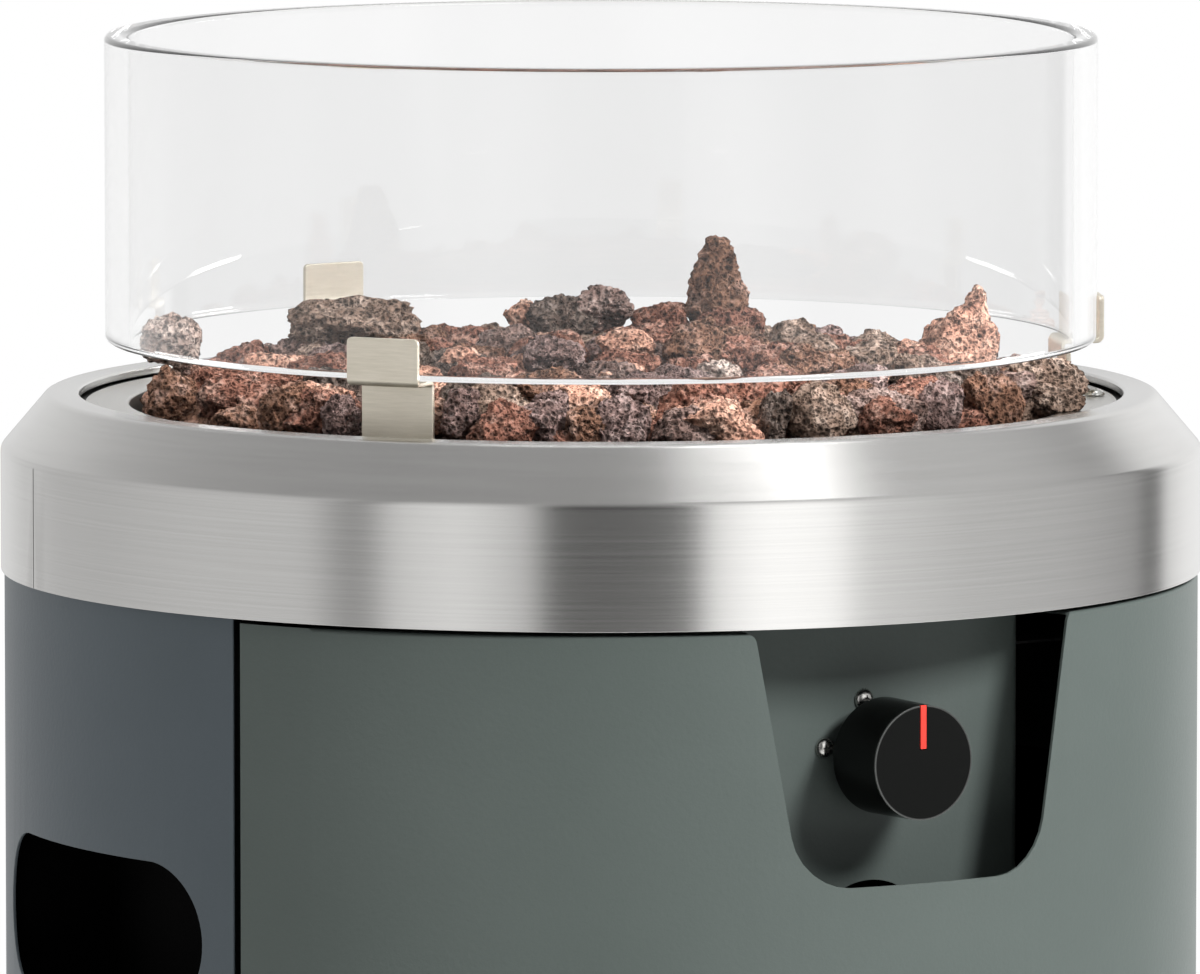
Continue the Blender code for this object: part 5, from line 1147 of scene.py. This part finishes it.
ROCK_LIMIT = 0.1850       # how far from the axis a rock may reach
SPECIAL_LIMIT = 0.1872    # the same for the rocks of the second list
LEANING_LIMIT = 0.1975    # and for the rocks that lean over the pan's flange at the right
laid = {key: [] for key in LAVA_LOOKS}


def seen_at(across, back, height):
    """A point in metres, from millimetres across, back and up as the camera sees them."""
    return (ACROSS * across + BACK * back + Vector((0.0, 0.0, height))) / 1000


def lay_rock(chance, middle, size, key, shape=None, limit=ROCK_LIMIT, kinds=rock_kinds):
    """Copies one kind of rock, turns it, fits it to a size and keeps it inside the pan."""
    kind = shape or chance.choice(kinds)
    made = kind.copy()
    made.data = kind.data.copy()
    bpy.context.scene.collection.objects.link(made)
    if shape is None:
        made.rotation_euler = (chance.choice((0.0, math.pi)), 0.0, chance.uniform(0.0, math.tau))
    settle(made)
    low, high = box_of(made)
    made.scale = [want / have for want, have in zip(size, high - low)]
    settle(made)
    sway = 0.0 if shape else 0.16
    made.rotation_euler = (chance.uniform(-sway, sway), chance.uniform(-sway, sway), CAMERA_TURN)
    made.location = middle
    settle(made)
    reach = max(math.hypot(vertex.co.x, vertex.co.y) for vertex in made.data.vertices)
    if reach > limit:
        inwards = Vector((-middle.x, -middle.y, 0.0)).normalized()
        made.location = inwards * (reach - limit)
        settle(made)
    laid[key].append(made)


chance = random.Random(11)
for across, back, height, width, tall, key in SEEN_ROCKS:
    full = max(tall, 0.66 * width)
    middle = seen_at(across, back, height + (tall - full) / 2)
    lay_rock(chance, middle, (width / 1000, width * chance.uniform(0.75, 0.95) / 1000, full / 1000), key)
SPECIAL_ROCKS = (
    (47, 79, 628, 27, 42, "b", spire), (147, 74, 613, 37, 31, "s", wedge),
    (-101, 76, 611, 56, 22, "o", None), (-173, 2, 610, 27, 23, "p", None),
    (183, -32, 597, 34, 17, "o", None), (160, -52, 594, 30, 22, "v", None),
)
for across, back, height, width, tall, key, shape in SPECIAL_ROCKS:
    middle = seen_at(across, back, height)
    limit = LEANING_LIMIT if across > 180 else SPECIAL_LIMIT
    lay_rock(chance, middle, (width / 1000, 0.8 * width / 1000, tall / 1000), key, shape, limit)

# Each layer: rocks, smallest and largest size, height at the rim, rise to the middle, reach, kinds
ROCK_LAYERS = (
    (46, 0.046, 0.056, 0.557, 0.012, 0.181, deep_kinds),
    (74, 0.036, 0.045, 0.574, 0.016, 0.183, deep_kinds),
    (98, 0.027, 0.036, 0.588, 0.015, 0.185, rock_kinds),
)
LAYER_RADIUS = 0.171
SUNFLOWER_TURN = 2.39996
for count, smallest, largest, rim, rise, reach, kinds in ROCK_LAYERS:
    for number in range(count):
        out = LAYER_RADIUS * math.sqrt((number + 0.5) / count)
        turn = math.degrees(number * SUNFLOWER_TURN) + count
        level = rim + rise * (1 - (out / ROCK_LIMIT) ** 2)
        size = chance.uniform(smallest, largest)
        key = chance.choice("rrrbboogvds")
        lay_rock(chance, polar(out, turn, level), (size, size * 0.85, size * 0.72), key, None, reach, kinds)
# The camera's side of the rim is laid by the list above; this row closes the rest of it.
for turn in range(44, 252, 8):
    size = chance.uniform(0.025, 0.031)
    key = chance.choice("rrbogvs")
    lay_rock(chance, polar(0.170, turn, 0.584), (size, size * 0.9, size * 0.75), key)
# One more rock fills the gap under the one that leans over the flange.
lay_rock(chance, seen_at(181, -46, 590), (0.025, 0.020, 0.014), "o", None, LEANING_LIMIT)

for kind in [*rock_kinds, *deep_kinds, spire, wedge]:
    bpy.data.objects.remove(kind, do_unlink=True)
HEAP_SIZE = 22
heap_count = 0
for key, stones in laid.items():
    for first in range(0, len(stones), HEAP_SIZE):
        heap_stones = stones[first:first + HEAP_SIZE]
        take(heap_stones[0])
        for stone in heap_stones[1:]:
            stone.select_set(True)
        bpy.ops.object.join()
        heap_count += 1
        heap = name_new(f"lava_heap_{heap_count}_{key}")
        attach(heap, LAVA_LOOKS[key], replaced=["lava_bed"])

# %% [markdown]
# ## Inner parts
# The burner, the gas train, the posts and the hinges are already right in the CAD. A copy of each is
# cleaned up: the loose triangles are merged and dissolved into whole faces, the corners get a small
# bevel, and the round walls are shaded smooth. It then stands for the node and takes a proper material.

# %% Refine the inner parts
BODY_OF = {
    "hinge_pin_upper": "door", "hinge_pin_lower": "door", "valve_stem": "knob", "spring_cup": "valve_push",
}


def refine(node, look, width, degrees=28.0):
    """Cleans a copy of a CAD node and rounds its corners."""
    made = bpy.data.objects.new(f"{node}_refined", nodes[node].data.copy())
    bpy.context.scene.collection.objects.link(made)
    edit(made)
    bpy.ops.mesh.remove_doubles(threshold=0.000002)
    bpy.ops.mesh.dissolve_limited(angle_limit=math.radians(0.5))
    bpy.ops.mesh.normals_make_consistent(inside=False)
    bpy.ops.object.mode_set(mode="OBJECT")
    if width:
        soften(made, width, degrees=degrees)
    smooth(made, 30.0)
    return attach(made, look, BODY_OF.get(node, "root"), [node])


REFINED = (
    (enamel, "black_metal", 0.0003, 28.0, "post_left post_right hinge_bracket_upper hinge_bracket_lower"),
    (nylon, "black_plastic", 0.0004, 28.0, "magnet_catch"),
    (cup_plastic, "black_plastic", 0.0004, 28.0, "hand_cup_left hand_cup_right"),
    (stainless, "bright_steel", 0.0003, 40.0,
     "burner_ring mixer_tube mixer_nut air_shutter sensor_bracket"),
    (bright_zinc, "bright_steel", 0.0002, 40.0, "valve_bonnet valve_stem hinge_pin_upper hinge_pin_lower"),
    (bright_zinc, "bright_steel", 0.0, 28.0, "spring_cup"),
    (brass, "brass", 0.0003, 40.0, "injector valve_body valve_inlet"),
    (copper, "copper", 0.0002, 40.0, "feed_pipe thermocouple"),
    (ceramic, "ceramic", 0.0002, 40.0, "igniter_electrode"),
)
for look, slot, width, degrees, names in REFINED:
    for node in names.split():
        refine(node, look, width, degrees)

# Pushing the knob shortens the real valve's spring; here it is cleaned without a bevel and gets a mesh of
# its own.
spring = smooth(refine("valve_spring", bright_zinc, 0.0), 60.0)
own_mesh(spring)

# %% [markdown]
# ## Floor
# The heater stands on a plain pale floor. It is a round sheet that fades to the white of the background
# towards its edge, so that no line shows where it ends, and the object's shadow stays.

# %% Floor
WHITE = (1.0, 1.0, 1.0, 1.0)
floor = settle(add_shape("circle", "studio_floor", vertices=96, radius=1.6, fill_type="NGON"))
floor_look, tree, shader = new_material("pale_floor", roughness=0.9, specular_ior_level=0.1)
place = add_node(tree, "TexCoord").outputs["Object"]
distance = add_node(tree, "VectorMath", {0: place}, operation="LENGTH").outputs["Value"]
fade = add_node(tree, "MapRange", {
    "Value": distance, "From Min": 0.55, "From Max": 1.5,
}, interpolation_type="SMOOTHSTEP")
clouds = add_node(tree, "TexNoise", {"Vector": place, "Scale": 9.0, "Detail": 3.0})
pale = colour_steps(add_node(tree, "ValToRGB", {"Fac": clouds}), [(0.3, "#e9e9e7"), (0.7, "#f0f0ee")])
glow = add_node(tree, "Emission", {"Color": WHITE, "Strength": 1.0})
ray = add_node(tree, "LightPath").outputs
seen = ray["Is Camera Ray"]
for other in ("Is Glossy Ray", "Is Transmission Ray"):
    seen = add_node(tree, "Math", {0: seen, 1: ray[other]}, operation="ADD", use_clamp=True)
faded = add_node(tree, "Math", {0: seen, 1: fade}, operation="MULTIPLY")
mixed = add_node(tree, "MixShader", {0: faded, 1: shader, 2: glow})
tree.links.new(pale.outputs[0], shader.inputs["Base Color"])
tree.links.new(mixed.outputs[0], tree.nodes["Material Output"].inputs["Surface"])
floor.data.materials.append(floor_look)
print("floor radius:", round(floor.dimensions.x / 2, 3))

# %% [markdown]
# ## Studio
# The photo was taken in a white room with a large softbox to the right of the camera. What makes the ring
# look like metal is what it mirrors, so the world shows soft upright bands to glossy rays: bright where the
# softbox and the white walls stood, dark round the camera. Camera rays see plain white, and diffuse rays an
# even grey, so that paint and stone keep their colours. The bands follow the direction's angle round the
# camera's line of sight.

# %% World
SOFT_BANDS = (
    (-180.0, 0.80), (-156.0, 0.84), (-127.0, 0.66), (-109.0, 0.65), (-81.0, 0.745), (-57.0, 0.745),
    (-50.0, 0.34), (-45.0, 0.34), (-40.0, 0.90), (-27.0, 1.08), (-13.0, 0.745), (-10.0, 0.06),
    (8.0, 0.10), (18.0, 0.16), (20.0, 1.20), (31.0, 1.70), (45.0, 1.60), (51.0, 0.96), (73.0, 0.72),
    (99.0, 0.63), (124.0, 0.46), (128.0, 0.20), (134.0, 0.20), (138.0, 0.95), (150.0, 1.10), (166.0, 1.00),
    (180.0, 0.80),
)
BRIGHTEST = 1.7
GLASS_SHINE = 0.38        # the glass mirrors a dimmer room, so that no veil lies over the rocks
SKIMMING_SHINE = 1.25     # but mirrors it well towards the back
world = bpy.data.worlds.new("white_studio")
bpy.context.scene.world = world
world.use_nodes = True
tree = world.node_tree
way = add_node(tree, "TexCoord").outputs["Generated"]
turned = add_node(tree, "VectorRotate", {"Vector": way, "Angle": -CAMERA_TURN}, rotation_type="Z_AXIS")
right, back, up = add_node(tree, "SeparateXYZ", {0: turned}).outputs
front = add_node(tree, "Math", {0: back, 1: -1.0}, operation="MULTIPLY")
azimuth = add_node(tree, "Math", {0: right, 1: front}, operation="ARCTAN2")
around = add_node(tree, "MapRange", {"Value": azimuth, "From Min": -math.pi, "From Max": math.pi})
levels = [((angle + 180.0) / 360.0, (level / BRIGHTEST,) * 3 + (1.0,)) for angle, level in SOFT_BANDS]
bands = colour_steps(add_node(tree, "ValToRGB", {"Fac": around}), levels)
bright = add_node(tree, "VectorMath", {0: bands, "Scale": BRIGHTEST}, operation="SCALE")
ceiling = add_node(tree, "MapRange", {
    "Value": up, "From Min": 0.35, "From Max": 0.85,
}, interpolation_type="SMOOTHSTEP")
overhead = add_node(tree, "MapRange", {"Value": right, "From Max": 0.6, "To Min": 0.42, "To Max": 0.72})
sky = add_node(tree, "Mix", {"Factor": ceiling, "A": bright, "B": overhead}, data_type="VECTOR")

ray = add_node(tree, "LightPath").outputs
shine = add_node(tree, "MapRange", {
    "Value": back, "From Min": -0.1, "From Max": 0.7, "To Min": GLASS_SHINE, "To Max": SKIMMING_SHINE,
})
veil = add_node(tree, "MapRange", {"Value": ray["Is Singular Ray"], "To Min": 1.0, "To Max": shine})
mirrored = add_node(tree, "Background", {"Color": sky.outputs[1], "Strength": veil})
grey = add_node(tree, "MapRange", {"Value": up, "From Min": -1.0, "To Min": 0.06, "To Max": 0.42})
even = add_node(tree, "Background", {"Color": WHITE, "Strength": grey})
white = add_node(tree, "Background", {"Color": WHITE, "Strength": 1.0})
by_gloss = add_node(tree, "MixShader", {0: ray["Is Glossy Ray"], 1: even, 2: mirrored})
to_eye = {0: ray["Is Camera Ray"], 1: ray["Is Transmission Ray"]}
clear = add_node(tree, "Math", to_eye, operation="MAXIMUM")
by_eye = add_node(tree, "MixShader", {0: clear, 1: by_gloss, 2: white})
tree.links.new(by_eye.outputs[0], tree.nodes["World Output"].inputs["Surface"])
print("world bands:", len(levels))

# %% Lamps
LAMP_AIM = 0.5            # height that all lamps look at


def softbox(name, angle, height, distance, size, watts, mirrored=False):
    """A square area light that looks at the guard, at an angle from the camera's line of sight."""
    lift = math.radians(height)
    middle = Vector((0.0, 0.0, LAMP_AIM))
    spot = middle + polar(distance * math.cos(lift), CAMERA_ANGLE + angle, distance * math.sin(lift))
    bpy.ops.object.light_add(type="AREA", location=spot)
    lamp = bpy.context.active_object
    lamp.name = name
    lamp.data.size = size
    lamp.data.energy = watts
    lamp.rotation_euler = (middle - spot).to_track_quat("-Z", "Y").to_euler()
    lamp.visible_glossy = mirrored
    return lamp


softbox("key_softbox", 52.0, 33.0, 3.0, 0.7, 92.0)
softbox("window_softbox", 84.0, 72.0, 2.5, 0.85, 7.4, mirrored=True)
softbox("rock_softbox", -10.0, 72.0, 2.5, 1.2, 22.0)
softbox("right_rim_softbox", 116.0, 12.0, 3.0, 1.0, 38.0)
softbox("left_rim_softbox", -118.0, 12.0, 3.0, 1.0, 22.0)

# %% [markdown]
# ## Camera
# The photo was taken from far away with a long lens, about 32 degrees to the left of the door and 6 degrees
# above level, so the rims of the ring and the glass are flat ellipses.

# %% Camera
CAMERA_REACH = 5.5
CAMERA_HEIGHT = 1.120987
CAMERA_DIP = 5.91354      # degrees below level
CAMERA_SHIFT = 0.00045    # to the left, from the fit to the photo's outlines

camera_data = bpy.data.cameras.new("photo_camera")
camera = bpy.data.objects.new("photo_camera", camera_data)
bpy.context.scene.collection.objects.link(camera)
camera.location = polar(CAMERA_REACH, CAMERA_ANGLE, CAMERA_HEIGHT) - ACROSS * CAMERA_SHIFT
camera.rotation_euler = (math.radians(90.0 - CAMERA_DIP), 0.0, CAMERA_TURN)
camera_data.lens = 414.694
camera_data.sensor_width = 36.0
camera_data.clip_end = 50.0
bpy.context.scene.camera = camera
